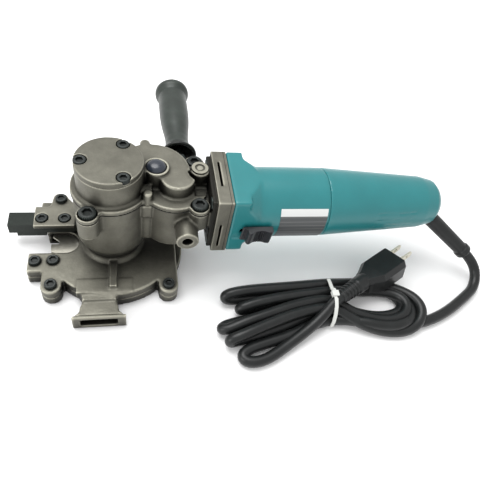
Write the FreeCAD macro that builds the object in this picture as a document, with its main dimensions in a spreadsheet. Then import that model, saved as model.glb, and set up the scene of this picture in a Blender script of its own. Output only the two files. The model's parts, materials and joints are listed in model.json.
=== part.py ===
"""Flush-cut rebar saw: a motor drives a toothed disc blade lying flat in a case at the head.

The blade axis is +Z through the origin, the case stands on z = 0 and the motor points along +X.
Every driving size is a cell of the sheet below, in millimetres or degrees.
"""
import FreeCAD, Part
import math
import os
import re

import Sketcher
from FreeCAD import Placement, Rotation, Vector

SIZES = {
    # blade case
    "case_split": 9.0, "case_top": 17.0, "case_radius": 59.5, "chamber_radius": 56.5,
    "chamber_floor": 3.2, "chamber_roof": 14.0, "case_right": 56.0, "bulge_radius": 63.0,
    "mouth_near": -13.0, "mouth_far": 9.9, "mouth_depth": -42.0, "mouth_round": 11.5,
    "block_left": -72.0, "block_near": -33.0, "block_right": -40.0,
    "lug_radius": 8.5, "left_lug_east": -51.0, "left_lug_north": -47.2,
    "right_lug_east": 47.4, "right_lug_north": -50.4, "back_lug_north": 50.4,
    "seat_left": -66.0, "seat_right": -30.0, "seat_near": 27.0, "seat_far": 47.0,
    "chute_mouth": -80.5, "chute_neck": -77.2, "chute_root": -47.0, "chute_top": 15.0,
    "chute_shoulder": 16.3, "chute_middle": -11.3, "chute_narrow": 14.0, "chute_wide": 21.6,
    "rim_left": -33.0, "rim_right": 10.5, "rim_top": 16.2, "slot_low": 3.8, "slot_high": 12.6,
    "slot_narrow": 11.2, "slot_wide": 15.0,
    "pad_left": -30.4, "pad_right": 16.0, "pad_near": -56.5, "pad_far": -42.6, "pad_top": 17.4,
    "rib_half": 3.0, "rib_near": -52.5, "rib_top": 20.0,
    # blade and spindle
    "blade_radius": 55.0, "blade_low": 9.5, "blade_thick": 2.0, "blade_teeth": 20,
    "gullet_depth": 7.0, "arbor_radius": 8.0, "flange_radius": 16.0, "inner_flange_top": 13.6,
    "outer_flange_low": 6.8, "blade_bolt_low": 3.7, "blade_bolt_radius": 7.0,
    "bolt_shank": 3.0, "spindle_hub": 8.5, "spindle_shaft": 7.5, "spindle_step": 57.0,
    "spindle_top": 103.0, "roof_hole": 10.5, "seal_radius": 14.0, "seal_top": 20.0,
    "lower_race": 20.0, "lower_race_top": 32.0, "upper_race": 17.5, "upper_race_low": 88.0,
    "upper_race_top": 99.0,
    # gear case
    "boss_radius": 24.3, "boss_top": 23.0, "lobe_radius": 30.3, "lobe_low": 36.0,
    "case_rim": 85.6, "gasket_thick": 0.4, "second_lobe_east": 51.6, "second_lobe": 26.5,
    "second_low": 42.0, "waist_left": 14.0, "waist_right": 42.0, "waist_half": 18.5,
    "foot_radius": 13.5, "foot_low": 36.5, "gear_well": 28.0, "gear_well_floor": 45.5,
    "layshaft_east": 36.25, "second_well": 23.5, "bevel_well": 16.2, "lay_floor": 45.6,
    "lay_race": 8.0, "lay_race_low": 40.0, "lay_race_top": 45.0, "lay_shaft": 4.0,
    "web_low": 56.5, "web_top": 63.5, "web_radius": 13.5, "web_race": 11.0,
    "bolt_lug": 8.5, "bolt_lug_low": 68.0, "left_bolt_east": -16.5, "left_bolt_north": 34.6,
    "right_bolt_east": 70.6, "right_bolt_north": 26.4, "left_bolt_south": -31.8,
    "right_bolt_south": -23.6, "bolt_sink": 2.4, "head_sink": 1.1, "column_east": 28.8, "column_half": 3.6,
    "column_near": -19.6, "motor_axis": 69.4, "neck_radius": 22.0, "neck_bore": 14.0,
    "neck_left": 62.0, "neck_flange": 80.0, "neck_end": 87.0, "neck_half": 28.0,
    "socket_east": 60.4, "socket_outer": 9.25, "socket_bore": 4.25, "socket_mouth": 45.0,
    "socket_depth": 18.0,
    # gear cover
    "ledge_top": 90.4, "ledge_radius": 31.3, "second_ledge": 28.0, "tower_radius": 26.6,
    "tower_top": 111.5, "cap_top": 116.5, "cap_screw_circle": 21.6, "plateau_east": 33.0,
    "plateau_north": 5.0, "plateau_radius": 31.0, "plateau_top": 102.5, "ring_east": 36.5,
    "ring_north": 5.0, "ring_radius": 10.5, "ring_top": 106.0, "shelf_radius": 14.2,
    "shelf_east": 53.2, "shelf_north": -3.0,
    "plug_boss_east": 72.6, "plug_boss_north": 7.9, "plug_boss_radius": 8.2,
    "plug_boss_top": 100.6, "plug_head": 7.0, "plug_head_top": 102.4, "tab_east": 28.6, "tab_north": 37.5, "tab_radius": 4.2,
    "cover_column_top": 97.0, "button_radius": 8.1, "button_bore": 8.18, "button_floor": 96.0,
    "button_low": 101.5, "button_shoulder": 105.0, "button_top": 109.5, "pin_radius": 2.3,
    "pin_bore": 2.36, "pin_tip": 84.5, "pin_collar": 3.6, "collar_top": 85.9, "lock_travel": 3.5,
    "spring_radius": 5.6, "spring_wire": 0.9,
    # guide
    "bar_left": -90.3, "bar_right": -31.5, "bar_near": 9.9, "bar_far": 25.0, "bar_top": 27.5,
    "strip_left": -84.0, "strip_right": -59.0, "strip_low": 12.5, "strip_far": 20.0,
    "bracket_top": 31.5, "bracket_left": -68.0, "bracket_right": -33.2, "bracket_near": 5.6,
    "bracket_step": 28.5, "bracket_far": 43.5,
    # flange plate and motor
    "flange_half": 30.95, "flange_right": 97.4, "front_race": 14.0, "front_race_low": 87.0,
    "front_race_top": 95.0, "vent_half": 14.5, "vent_width": 1.8, "top_vent_north": 3.3, "side_vent_up": -10.2, "motor_radius": 31.0,
    "motor_bore": 28.5, "square_right": 112.0, "taper_right": 123.0, "seam": 185.0,
    "armature_left": 51.3, "shaft_radius": 5.0, "nose_radius": 2.0, "fan_left": 101.0, "fan_right": 111.0,
    "fan_radius": 26.0, "field_left": 126.0, "field_right": 166.0, "field_bore": 18.6,
    "core_radius": 18.0, "coil_overhang": 8.0, "commutator_left": 186.0,
    "commutator_right": 203.0, "commutator_radius": 11.0, "brush_low": 11.1,
    "brush_high": 22.0, "rear_race": 11.0, "rear_race_left": 213.0, "rear_race_right": 220.0,
    "frame_radius": 26.2, "frame_right": 224.0, "cover_wall": 2.5, "tail": 302.0,
    "tail_radius": 24.5, "tail_round": 284.0, "tail_tip": 17.0, "slot_start": 233.0,
    "slot_end": 273.0, "slot_height": 1.8,
    # switch and label
    "slide_tilt": 8.0, "slide_left": 107.0, "slide_right": 134.0, "slide_half": 9.0,
    "slide_inner": 31.55, "slide_outer": 36.0, "slide_travel": 6.0, "recess_left": 97.4,
    "recess_half": 10.0, "recess_depth": 31.5, "switch_left": 236.0, "switch_right": 262.0,
    "label_left": 140.0, "label_right": 182.5, "label_thick": 0.3,
    # side handle
    "stud_radius": 4.2, "stud_start": 29.0, "hex_radius": 8.0, "hex_end": 53.0,
    "grip_start": 57.0, "grip_end": 157.0,
    # screws: head and shank radius, head height, key size
    "small_head": 5.0, "small_shank": 3.0, "small_height": 3.6, "small_key": 2.9,
    "large_head": 6.5, "large_shank": 4.0, "large_height": 5.0, "large_key": 3.5,
    "hole_gap": 0.1, "fit_gap": 0.03,
    # gears
    "spur_module": 1.25, "wheel_teeth": 42, "pinion_teeth": 16, "bevel_module": 1.0,
    "crown_teeth": 30, "bevel_teeth": 10, "wheel_low": 46.5, "wheel_top": 55.5,
    # cord
    "cord_radius": 5.0, "guard_root": 8.5, "guard_tip": 6.6,
    "guard_length": 66.0,
}

doc = FreeCAD.newDocument("RebarSaw")
sheet = doc.addObject("Spreadsheet::Sheet", "Sizes")
for row, (alias, value) in enumerate(SIZES.items(), 1):
    sheet.set(f"A{row}", alias.replace("_", " "))
    sheet.set(f"B{row}", str(value))
    sheet.setAlias(f"B{row}", alias)
doc.recompute()

UP = Rotation()
EAST = Rotation(Vector(0, 1, 0), 90)
NORTH = Rotation(Vector(1, 0, 0), -90)
DOWN = Rotation(Vector(1, 0, 0), 180)
parts = {}


def formula(text):
    """The text of an expression, each alias looked up in the sheet."""
    return re.sub(r"[a-z][a-z_]+[a-z]", lambda m: "Sizes." + m[0] if m[0] in SIZES else m[0], str(text))


def size(text):
    """The value of the same expression as a number."""
    return float(cell_value(str(text)))


def cell_value(text):
    """Evaluate an expression of aliases with a scratch cell of the sheet."""
    sheet.set("D1", "=" + text)
    sheet.recompute()
    value = sheet.get("D1")
    return getattr(value, "Value", value)


def bind(thing, prop, text):
    thing.setExpression(prop, formula(text))


def place(thing, at, turn=UP):
    """Turn a thing, then bind its position to the sheet."""
    thing.Placement = Placement(Vector(*(size(text) for text in at)), turn)
    for axis, text in zip("xyz", at):
        bind(thing, "Placement.Base." + axis, text)
    return thing


def cylinder(name, radius, height, at=("0", "0", "0"), turn=UP):
    thing = doc.addObject("Part::Cylinder", name)
    bind(thing, "Radius", radius)
    bind(thing, "Height", height)
    return place(thing, at, turn)


def cone(name, radius, end_radius, height, at=("0", "0", "0"), turn=UP):
    thing = doc.addObject("Part::Cone", name)
    bind(thing, "Radius1", radius)
    bind(thing, "Radius2", end_radius)
    bind(thing, "Height", height)
    return place(thing, at, turn)


def box(name, low, high):
    """A box between two corners, each given as three expressions."""
    thing = doc.addObject("Part::Box", name)
    for prop, start, end in zip(("Length", "Width", "Height"), low, high):
        bind(thing, prop, f"({end}) - ({start})")
    return place(thing, low)


def fuse(name, things):
    if len(things) == 1:
        return things[0]
    thing = doc.addObject("Part::MultiFuse", name)
    thing.Shapes = things
    return thing


def cut(name, base, tools):
    thing = doc.addObject("Part::Cut", name)
    thing.Base = base
    thing.Tool = fuse(name + "Tools", tools)
    return thing


def common(name, things):
    thing = doc.addObject("Part::MultiCommon", name)
    thing.Shapes = things
    return thing


def part(label, thing):
    thing.Label = label
    parts[label] = thing
    return thing


def sketch_on(body, name, role, corners, offset="0"):
    """A closed outline on one of the body's planes, each corner bound to the sheet."""
    sketch = body.newObject("Sketcher::SketchObject", name)
    plane = next(f for f in body.Origin.OriginFeatures if f.Role == role)
    sketch.AttachmentSupport = [(plane, "")]
    sketch.MapMode = "FlatFace"
    if offset != "0":
        bind(sketch, "AttachmentOffset.Base.z", offset)
    spots = [Vector(size(a), size(b), 0) for a, b in corners]
    count = len(spots)
    sketch.addGeometry([Part.LineSegment(spots[i], spots[(i + 1) % count]) for i in range(count)])
    for i in range(count):
        sketch.addConstraint(Sketcher.Constraint("Coincident", i, 2, (i + 1) % count, 1))
    for i, (corner, spot) in enumerate(zip(corners, spots)):
        for kind, text, value, axis in zip(("DistanceX", "DistanceY"), corner, spot, (-2, -1)):
            if abs(value) < 1e-9:
                sketch.addConstraint(Sketcher.Constraint("PointOnObject", i, 1, axis))
            else:
                at = sketch.addConstraint(Sketcher.Constraint(kind, -1, 1, i, 1, value))
                sketch.setExpression(f"Constraints[{at}]", formula(text))
    return sketch


def turned(name, corners, at=("0", "0", "0"), turn=UP):
    """A body turned about its own Z from an outline of (radius, height) corners."""
    body = doc.addObject("PartDesign::Body", name)
    sketch = sketch_on(body, name + "Outline", "XZ_Plane", corners)
    spin = body.newObject("PartDesign::Revolution", name + "Turn")
    spin.Profile = sketch
    spin.ReferenceAxis = (sketch, ["V_Axis"])
    spin.Angle = 360
    sketch.Visibility = False
    return place(body, at, turn)


def padded(name, corners, low, high):
    """A body padded upwards from a flat outline of (x, y) corners."""
    body = doc.addObject("PartDesign::Body", name)
    sketch = sketch_on(body, name + "Outline", "XY_Plane", corners)
    pad = body.newObject("PartDesign::Pad", name + "Pad")
    pad.Profile = sketch
    bind(pad, "Length", f"({high}) - ({low})")
    return place(body, ("0", "0", low))


def bearing(label, bore, outer, length, at, turn=UP):
    """A ball bearing: an inner ring, an outer ring, and a filled race between them."""
    rim = f"({outer} - {bore}) * 0.28"
    step = f"({length}) * 0.08"
    corners = [(bore, "0"), (f"{bore} + {rim}", "0"), (f"{bore} + {rim}", step),
               (f"{outer} - {rim}", step), (f"{outer} - {rim}", "0"), (outer, "0"),
               (outer, length), (f"{outer} - {rim}", length),
               (f"{outer} - {rim}", f"({length}) - {step}"),
               (f"{bore} + {rim}", f"({length}) - {step}"), (f"{bore} + {rim}", length),
               (bore, length)]
    return part(label, turned(label.title().replace("_", ""), corners, at, turn))


def screw_set(name, kind, places, head_low, length):
    """Socket-head screws standing at places; length is the shank below the head."""
    made = []
    for i, (x, y, long) in enumerate(places):
        head = cylinder(f"{name}Head{i}", f"{kind}_head", f"{kind}_height", (x, y, head_low))
        shank = cylinder(f"{name}Shank{i}", f"{kind}_shank", long or length,
                         (x, y, f"{head_low} - ({long or length})"))
        key = doc.addObject("Part::Prism", f"{name}Key{i}")
        key.Polygon = 6
        bind(key, "Circumradius", f"{kind}_key")
        bind(key, "Height", f"{kind}_height * 0.6")
        place(key, (x, y, f"{head_low} + {kind}_height * 0.5"))
        made.append(cut(f"{name}Screw{i}", fuse(f"{name}Solid{i}", [head, shank]), [key]))
    return fuse(name, made)


def holes(name, radius, places, low, high):
    """Round holes down through a casting, a little wider than what passes through them."""
    return [cylinder(f"{name}{i}", f"{radius} + hole_gap", f"({high}) - ({low})", (x, y, low))
            for i, (x, y, *_) in enumerate(places)]


# ---- where the screws stand ----
corner_places = [("left_lug_east", "left_lug_north", None), ("right_lug_east", "right_lug_north", None),
                 ("right_lug_east", "back_lug_north", None)]
prong_places = [("-66", "-21.8", "12"), ("-51", "-21.3", "1.5")]
bolt_places = [("left_bolt_east", "left_bolt_south", None), ("left_bolt_east", "left_bolt_north", None),
               ("right_bolt_east", "right_bolt_south", None),
               ("right_bolt_east", "right_bolt_north", None)]
cap_places = [(f"cap_screw_circle * {math.cos(math.radians(a)):.4f}",
               f"cap_screw_circle * {math.sin(math.radians(a)):.4f}", None) for a in (180, 60, -60)]
bracket_places = [("-61.5", "14.8", None), ("-42.3", "14.8", None), ("-46.3", "36.6", None)]


def case_outline(name, low, high):
    """The blade case seen from above: a disc with lugs, a square prong and a guide seat."""
    tall = f"({high}) - ({low})"
    disc = cylinder(name + "Disc", "case_radius", tall, ("0", "0", low))
    keep = box(name + "Keep", ("-200", "-200", low), ("case_right", "200", high))
    trimmed = common(name + "Trimmed", [disc, keep])
    prong = box(name + "Prong", ("block_left", "block_near", low), ("block_right", "mouth_near", high))
    seat = box(name + "Seat", ("seat_left", "seat_near", low), ("seat_right", "seat_far", high))
    lugs = [cylinder(f"{name}Lug{i}", "lug_radius", tall, (x, y, low))
            for i, (x, y, _) in enumerate(corner_places)]
    webs = [box(f"{name}Web{i}", (a, b, low), (c, d, high)) for i, (a, b, c, d) in enumerate((
        ("left_lug_east - lug_radius", "left_lug_north", "left_lug_east + lug_radius", "block_near"),
        ("right_lug_east - lug_radius", "right_lug_north", "right_lug_east + lug_radius", "-20"),
        ("right_lug_east - lug_radius", "20", "right_lug_east + lug_radius", "back_lug_north")))]
    return [trimmed, prong, seat] + lugs + webs


def mouth_tools(name, low, high):
    """The opening that the bar enters, straight in and rounded at its end."""
    return [box(name + "Slot", ("-200", "mouth_near", low), ("mouth_depth", "mouth_far", high)),
            cylinder(name + "End", "mouth_round", f"({high}) - ({low})",
                     ("mouth_depth", "mouth_near + mouth_round", low))]


def chute_sides(narrow, wide, near):
    """Both sides of the chip chute in plan, waisted behind its flared mouth."""
    root = [(narrow, 1.55, "chute_root"), (narrow, 1.3, "-52"), (narrow, 1.06, "-57"), (narrow, 1.0, "-61")]
    flare = [(narrow, 1.02, "-65"), (narrow, 1.12, "-69"), (wide, 0.74, "-73"), (wide, 0.95, near)]
    steps = root + ([(narrow, 1.0, near)] if near == "-63" else flare)
    left = [(f"chute_middle - {reach} * {k}", y) for reach, k, y in steps]
    right = [(x.replace("chute_middle -", "chute_middle +"), y) for x, y in left]
    return left + right[::-1]


def chute_neck(name, low, high, near="chute_neck"):
    """The chute's outer body between two heights."""
    return padded(name, chute_sides("chute_narrow", "chute_wide", near), low, high)


def chute_slot(name):
    """The passage inside the chute, out through its mouth."""
    return padded(name, [
        ("chute_middle - slot_narrow", "chute_root"), ("chute_middle - slot_narrow", "-64"),
        ("chute_middle - slot_wide", "-76"), ("chute_middle - slot_wide", "chute_mouth - 5"),
        ("chute_middle + slot_wide", "chute_mouth - 5"), ("chute_middle + slot_wide", "-76"),
        ("chute_middle + slot_narrow", "-64"), ("chute_middle + slot_narrow", "chute_root")],
        "slot_low", "slot_high")


def lower_blade_cover():
    """Bottom tray of the blade case, with the chute's flared mouth."""
    solids = case_outline("Tray", "0", "case_split")
    bulge = cylinder("TrayBulge", "bulge_radius", "case_split")
    side = box("TrayBulgeKeep", ("30", "-28", "0"), ("200", "45", "case_split"))
    solids.append(common("TrayRound", [bulge, side]))
    solids.append(chute_neck("ChuteNeckLow", "0", "case_split"))
    solids.append(box("ChuteRimLow", ("rim_left", "chute_mouth", "0"),
                      ("rim_right", "chute_neck", "rim_top")))
    tools = [cylinder("TrayChamber", "chamber_radius", "case_top", ("0", "0", "chamber_floor")),
             chute_slot("TraySlot")]
    tools += mouth_tools("TrayMouth", "-1", "case_top")
    tools += holes("TrayHole", "small_shank", corner_places, "2", "case_top")
    tools += holes("TrayProngHole", "small_shank", prong_places[:1], "2", "case_top")
    part("lower_blade_cover", cut("LowerBladeCover", fuse("TraySolid", solids), tools))


def gear_housing():
    """One casting: upper half of the blade case, spindle boss, two gear lobes and motor neck."""
    solids = case_outline("Deck", "case_split", "case_top")
    solids.append(chute_neck("ChuteNeckHigh", "case_split", "chute_top"))
    solids.append(chute_neck("ChuteShoulder", "case_split", "chute_shoulder", "-63"))
    solids.append(box("ChutePad", ("pad_left", "pad_near", "case_split"),
                      ("pad_right", "pad_far", "pad_top")))
    solids.append(turned("Boss", [("0", "case_split"), ("boss_radius + 3", "case_split"),
                                  ("boss_radius + 3", "case_top"), ("boss_radius", "case_top + 3"),
                                  ("boss_radius", "boss_top"), ("lobe_radius", "lobe_low"),
                                  ("lobe_radius", "case_rim"), ("0", "case_rim")]))
    solids.append(cylinder("SecondLobe", "second_lobe", "case_rim - second_low",
                           ("second_lobe_east", "0", "second_low")))
    solids.append(box("Waist", ("waist_left", "-waist_half", "second_low"),
                      ("waist_right", "waist_half", "case_rim")))
    solids.append(cylinder("Foot", "foot_radius", "second_low - foot_low + 1",
                           ("layshaft_east", "0", "foot_low")))
    solids.append(box("Column", ("column_east - column_half * 0.7", "column_near", "second_low + 2"),
                      ("column_east + column_half * 0.7", "0", "case_rim")))
    solids.append(box("ColumnHead", ("column_east - column_half", "column_near - 1", "72"),
                      ("column_east + column_half", "0", "case_rim")))
    solids.append(box("Rib", ("-rib_half", "rib_near", "case_split"),
                      ("rib_half", "-boss_radius + 2", "rib_top")))
    for i, (x, y, _) in enumerate(bolt_places):
        solids.append(cylinder(f"CaseLug{i}", "bolt_lug", "case_rim - bolt_lug_low",
                               (x, y, "bolt_lug_low")))
        solids.append(cylinder(f"CaseLugWeb{i}", "bolt_lug", "case_rim - bolt_lug_low",
                               (f"{x} * 0.8 + second_lobe_east * {0.2 if i > 1 else 0}", f"{y} * 0.8",
                                "bolt_lug_low")))
    solids.append(cylinder("Neck", "neck_radius", "neck_end - neck_left",
                           ("neck_left", "0", "motor_axis"), EAST))
    solids.append(box("NeckFlange", ("neck_flange", "-neck_half", "motor_axis - neck_half"),
                      ("neck_end", "neck_half", "motor_axis + neck_half")))
    solids.append(cylinder("Sockets", "socket_outer", "socket_mouth * 2",
                           ("socket_east", "-socket_mouth", "motor_axis"), NORTH))
    rim = box("RimKeep", ("-200", "-200", "case_rim"), ("neck_flange", "200", "200"))
    tools = [
        rim,
        cylinder("DeckChamber", "chamber_radius", "chamber_roof - 1", ("0", "0", "1")),
        chute_slot("DeckSlot"),
        cylinder("RoofHole", "roof_hole", "case_top", ("0", "0", "chamber_roof - 1")),
        cylinder("SealSeat", "seal_radius", "seal_top - case_top", ("0", "0", "case_top")),
        cylinder("LowerRaceSeat", "lower_race", "gear_well_floor - seal_top + 1", ("0", "0", "seal_top")),
        cylinder("GearWell", "gear_well", "60", ("0", "0", "gear_well_floor")),
        cylinder("SecondWell", "second_well", "60", ("second_lobe_east", "0", "lay_floor")),
        cylinder("BevelWell", "bevel_well", "60", ("layshaft_east", "0", "lay_floor")),
        cylinder("LayRaceSeat", "lay_race", "20", ("layshaft_east", "0", "lay_race_low")),
        cylinder("NeckBore", "neck_bore", "60", ("second_lobe_east", "0", "motor_axis"), EAST),
    ]
    tools += mouth_tools("DeckMouth", "1", "case_top + 1")
    hollow = cut("HousingHollow", fuse("HousingSolid", solids), tools)
    web = fuse("LayWeb", [
        cylinder("WebRing", "web_radius", "web_top - web_low", ("layshaft_east", "0", "web_low")),
        box("WebArms", ("layshaft_east - 6", "-waist_half + 0.5", "web_low"),
            ("layshaft_east + 6", "waist_half - 0.5", "web_top"))])
    drills = [cylinder("WebSeat", "web_race", "20", ("layshaft_east", "0", "web_low - 5")),
              cylinder("NearSocket", "socket_bore", "socket_depth + 1",
                       ("socket_east", "-socket_mouth - 1", "motor_axis"), NORTH),
              cylinder("FarSocket", "socket_bore", "socket_depth + 1",
                       ("socket_east", "socket_mouth - socket_depth", "motor_axis"), NORTH)]
    drills += holes("DeckHole", "small_shank", corner_places, "1", "case_top + 1")
    drills += holes("DeckProngHole", "small_shank", prong_places, "1", "case_top + 1")
    drills += [cylinder(f"DeckProngSeat{i}", "small_head + 0.6", "10", (x, y, "case_top - head_sink"))
               for i, (x, y, _) in enumerate(prong_places)]
    drills += holes("DeckSeatHole", "small_shank", bracket_places[2:], "1", "case_top + 1")
    drills += holes("CaseBoltHole", "large_shank", bolt_places, "66", "100")
    drills += [cylinder(f"NeckScrewHole{i}", "small_shank + hole_gap", "20",
                        ("neck_flange - 5", f"{a} * (neck_half - 6)",
                         f"motor_axis + {b} * (neck_half - 6)"), EAST)
               for i, (a, b) in enumerate(((-1, -1), (-1, 1), (1, -1), (1, 1)))]
    drills += [cylinder(f"NeckScrewSeat{i}", "small_head + hole_gap", "8.5",
                        ("neck_flange - 5", f"{a} * (neck_half - 6)",
                         f"motor_axis + {b} * (neck_half - 6)"), EAST)
               for i, (a, b) in enumerate(((-1, -1), (-1, 1), (1, -1), (1, 1)))]
    part("gear_housing", cut("GearHousing", fuse("HousingWebbed", [hollow, web]), drills))


def ledge_outline(name, low, high, grow="0"):
    """The flange where the gear cover meets the housing: two discs, a waist and four lugs."""
    tall = f"({high}) - ({low})"
    solids = [cylinder(name + "First", f"ledge_radius + {grow}", tall, ("0", "0", low)),
              cylinder(name + "Second", f"second_ledge + {grow}", tall, ("second_lobe_east", "0", low)),
              box(name + "Waist", ("waist_left", "-waist_half - 0.8", low),
                  ("waist_right", "waist_half + 0.8", high))]
    for i, (x, y, _) in enumerate(bolt_places):
        solids.append(cylinder(f"{name}Lug{i}", "bolt_lug", tall, (x, y, low)))
        solids.append(cylinder(f"{name}LugWeb{i}", "bolt_lug", tall,
                               (f"{x} * 0.8 + second_lobe_east * {0.2 if i > 1 else 0}", f"{y} * 0.8",
                                low)))
    return solids


def case_gasket():
    """Paper gasket between the housing and its cover."""
    wells = [cylinder("GasketWell", "gear_well", "5", ("0", "0", "case_rim - 2")),
             cylinder("GasketSecond", "second_well", "5", ("second_lobe_east", "0", "case_rim - 2")),
             cylinder("GasketBevel", "bevel_well", "5", ("layshaft_east", "0", "case_rim - 2"))]
    wells += holes("GasketHole", "large_shank", bolt_places, "case_rim - 1", "ledge_top")
    wells.append(box("GasketEnd", ("neck_flange", "-100", "80"), ("200", "100", "95")))
    sheet_solid = fuse("GasketSolid", ledge_outline("Gasket", "case_rim", "case_rim + gasket_thick"))
    part("case_gasket", cut("CaseGasket", sheet_solid, wells))


def gear_cover():
    """Cover over the gears: ledge, spindle tower, plateau, button ring, fan and oil boss."""
    low = "case_rim + gasket_thick"
    solids = ledge_outline("Ledge", low, "ledge_top")
    solids.append(cylinder("Tower", "tower_radius", f"tower_top - ({low})", ("0", "0", low)))
    plateau = cylinder("PlateauDisc", "plateau_radius", f"plateau_top - ({low})",
                       ("plateau_east", "plateau_north", low))
    back = box("PlateauKeep", ("-5", "plateau_north", low), ("200", "200", "plateau_top"))
    solids.append(common("Plateau", [plateau, back]))
    solids.append(cylinder("ButtonRing", "ring_radius", f"ring_top - ({low})",
                           ("ring_east", "ring_north", low)))
    solids.append(common("Shelf", [
        cylinder("ShelfDisc", "shelf_radius", f"plateau_top - ({low})", ("shelf_east", "shelf_north", low)),
        padded("ShelfWedge", [("shelf_east - 9", "14"), ("shelf_east - 8.5", "2"), ("shelf_east - 10.5", "-3"),
                              ("shelf_east - 15", "-8"), ("shelf_east - 15", "-20"),
                              ("shelf_east + 15", "-20"), ("shelf_east + 14.5", "-6.5"),
                              ("shelf_east + 10.5", "-2"), ("shelf_east + 9", "3"),
                              ("shelf_east + 9.5", "14")], low, "plateau_top")]))
    solids.append(cylinder("OilBoss", "plug_boss_radius", f"plug_boss_top - ({low})",
                           ("plug_boss_east", "plug_boss_north", low)))
    solids.append(cylinder("Tab", "tab_radius", f"plateau_top - ({low})", ("tab_east", "tab_north", low)))
    solids.append(box("CoverColumn", ("column_east - column_half", "column_near + 1", low),
                      ("column_east + column_half", "-4", "cover_column_top - 2")))
    solids.append(cylinder("ColumnCap", "column_half", f"cover_column_top + 1.5 - ({low})",
                           ("column_east + 0.4", "column_near + 2.4", low)))
    tools = [cylinder("CoverWell", "upper_race + 1.5", "upper_race_low - 80", ("0", "0", "80")),
             cylinder("UpperRaceSeat", "upper_race", "upper_race_top - 80", ("0", "0", "80")),
             cylinder("TowerBore", "upper_race - 3", "100", ("0", "0", "80")),
             cylinder("ButtonBore", "button_bore", "50", ("ring_east", "ring_north", "button_floor")),
             cylinder("PinBore", "pin_bore", "50", ("ring_east", "ring_north", "80")),
             cylinder("OilHole", "small_shank + hole_gap", "50", ("plug_boss_east", "plug_boss_north", "80")),
             box("CoverEnd", ("neck_flange", "-100", "80"), ("200", "100", "120")),
             box("CoverPocket", ("shelf_east + shelf_radius + 0.3", "-13", "ledge_top - 3"),
                 ("200", "plug_boss_north - plug_boss_radius", "120"))]
    tools += holes("CoverBoltHole", "large_shank", bolt_places, "80", "100")
    tools += [cylinder(f"BoltSeat{i}", "large_head + 0.8", "40", (x, y, "ledge_top - bolt_sink"))
              for i, (x, y, _) in enumerate(bolt_places)]
    tools += holes("CoverCapHole", "small_shank", cap_places, "101", "120")
    part("gear_cover", cut("GearCover", fuse("CoverSolid", solids), tools))


def oil_plug():
    """Round plug over the filling hole, with a ring-shaped recess."""
    disc = cylinder("PlugDisc", "plug_head", "plug_head_top - plug_boss_top",
                    ("plug_boss_east", "plug_boss_north", "plug_boss_top"))
    shank = cylinder("PlugShank", "small_shank", "8", ("plug_boss_east", "plug_boss_north",
                                                      "plug_boss_top - 7.5"))
    recess = cylinder("PlugRecess", "plug_head * 0.6", "10",
                      ("plug_boss_east", "plug_boss_north", "plug_head_top - 0.9"))
    nub = cylinder("PlugNub", "plug_head * 0.36", "0.5",
                   ("plug_boss_east", "plug_boss_north", "plug_head_top - 0.9"))
    part("oil_plug", fuse("OilPlugWhole", [
        cut("OilPlug", fuse("OilPlugSolid", [disc, shank]), [recess]), nub]))


def spindle_cap():
    disc = cylinder("CapDisc", "tower_radius", "cap_top - tower_top", ("0", "0", "tower_top"))
    seats = [cylinder(f"CapSeat{i}", "small_head + 0.5", "10", (x, y, "cap_top - small_height + 0.3"))
             for i, (x, y, _) in enumerate(cap_places)]
    part("spindle_cap", cut("SpindleCap", disc,
                            holes("CapHole", "small_shank", cap_places, "100", "130") + seats))


def saw_blade():
    """Toothed disc: a full disc with a wedge-shaped gullet in front of every tooth."""
    body = doc.addObject("PartDesign::Body", "SawBlade")
    sketch = body.newObject("Sketcher::SketchObject", "BladeDisc")
    plane = next(f for f in body.Origin.OriginFeatures if f.Role == "XY_Plane")
    sketch.AttachmentSupport = [(plane, "")]
    sketch.MapMode = "FlatFace"
    for alias in ("blade_radius", "arbor_radius"):
        ring = sketch.addGeometry(Part.Circle(Vector(0, 0, 0), Vector(0, 0, 1), SIZES[alias]))
        sketch.addConstraint(Sketcher.Constraint("Coincident", ring, 3, -1, 1))
        at = sketch.addConstraint(Sketcher.Constraint("Radius", ring, SIZES[alias]))
        sketch.setExpression(f"Constraints[{at}]", formula(alias))
    pad = body.newObject("PartDesign::Pad", "BladePad")
    pad.Profile = sketch
    bind(pad, "Length", "blade_thick")
    gullet = sketch_on(body, "GulletOutline", "XY_Plane", [
        ("0.4", "blade_radius + 3"), ("0.6", "blade_radius - gullet_depth * 0.9"),
        ("2", "blade_radius - gullet_depth"), ("3.8", "blade_radius - gullet_depth * 0.94"),
        ("5.4", "blade_radius - gullet_depth * 0.7"), ("8.4", "blade_radius - 1.4"),
        ("11.4", "blade_radius + 3")])
    pocket = body.newObject("PartDesign::Pocket", "Gullet")
    pocket.Profile = gullet
    pocket.Type = 1
    pocket.Reversed = True
    ring = body.newObject("PartDesign::PolarPattern", "Gullets")
    ring.Originals = [pocket]
    ring.Axis = (gullet, ["N_Axis"])
    ring.Angle = 360
    bind(ring, "Occurrences", "blade_teeth")
    body.Tip = ring
    part("saw_blade", place(body, ("0", "0", "blade_low")))


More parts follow.
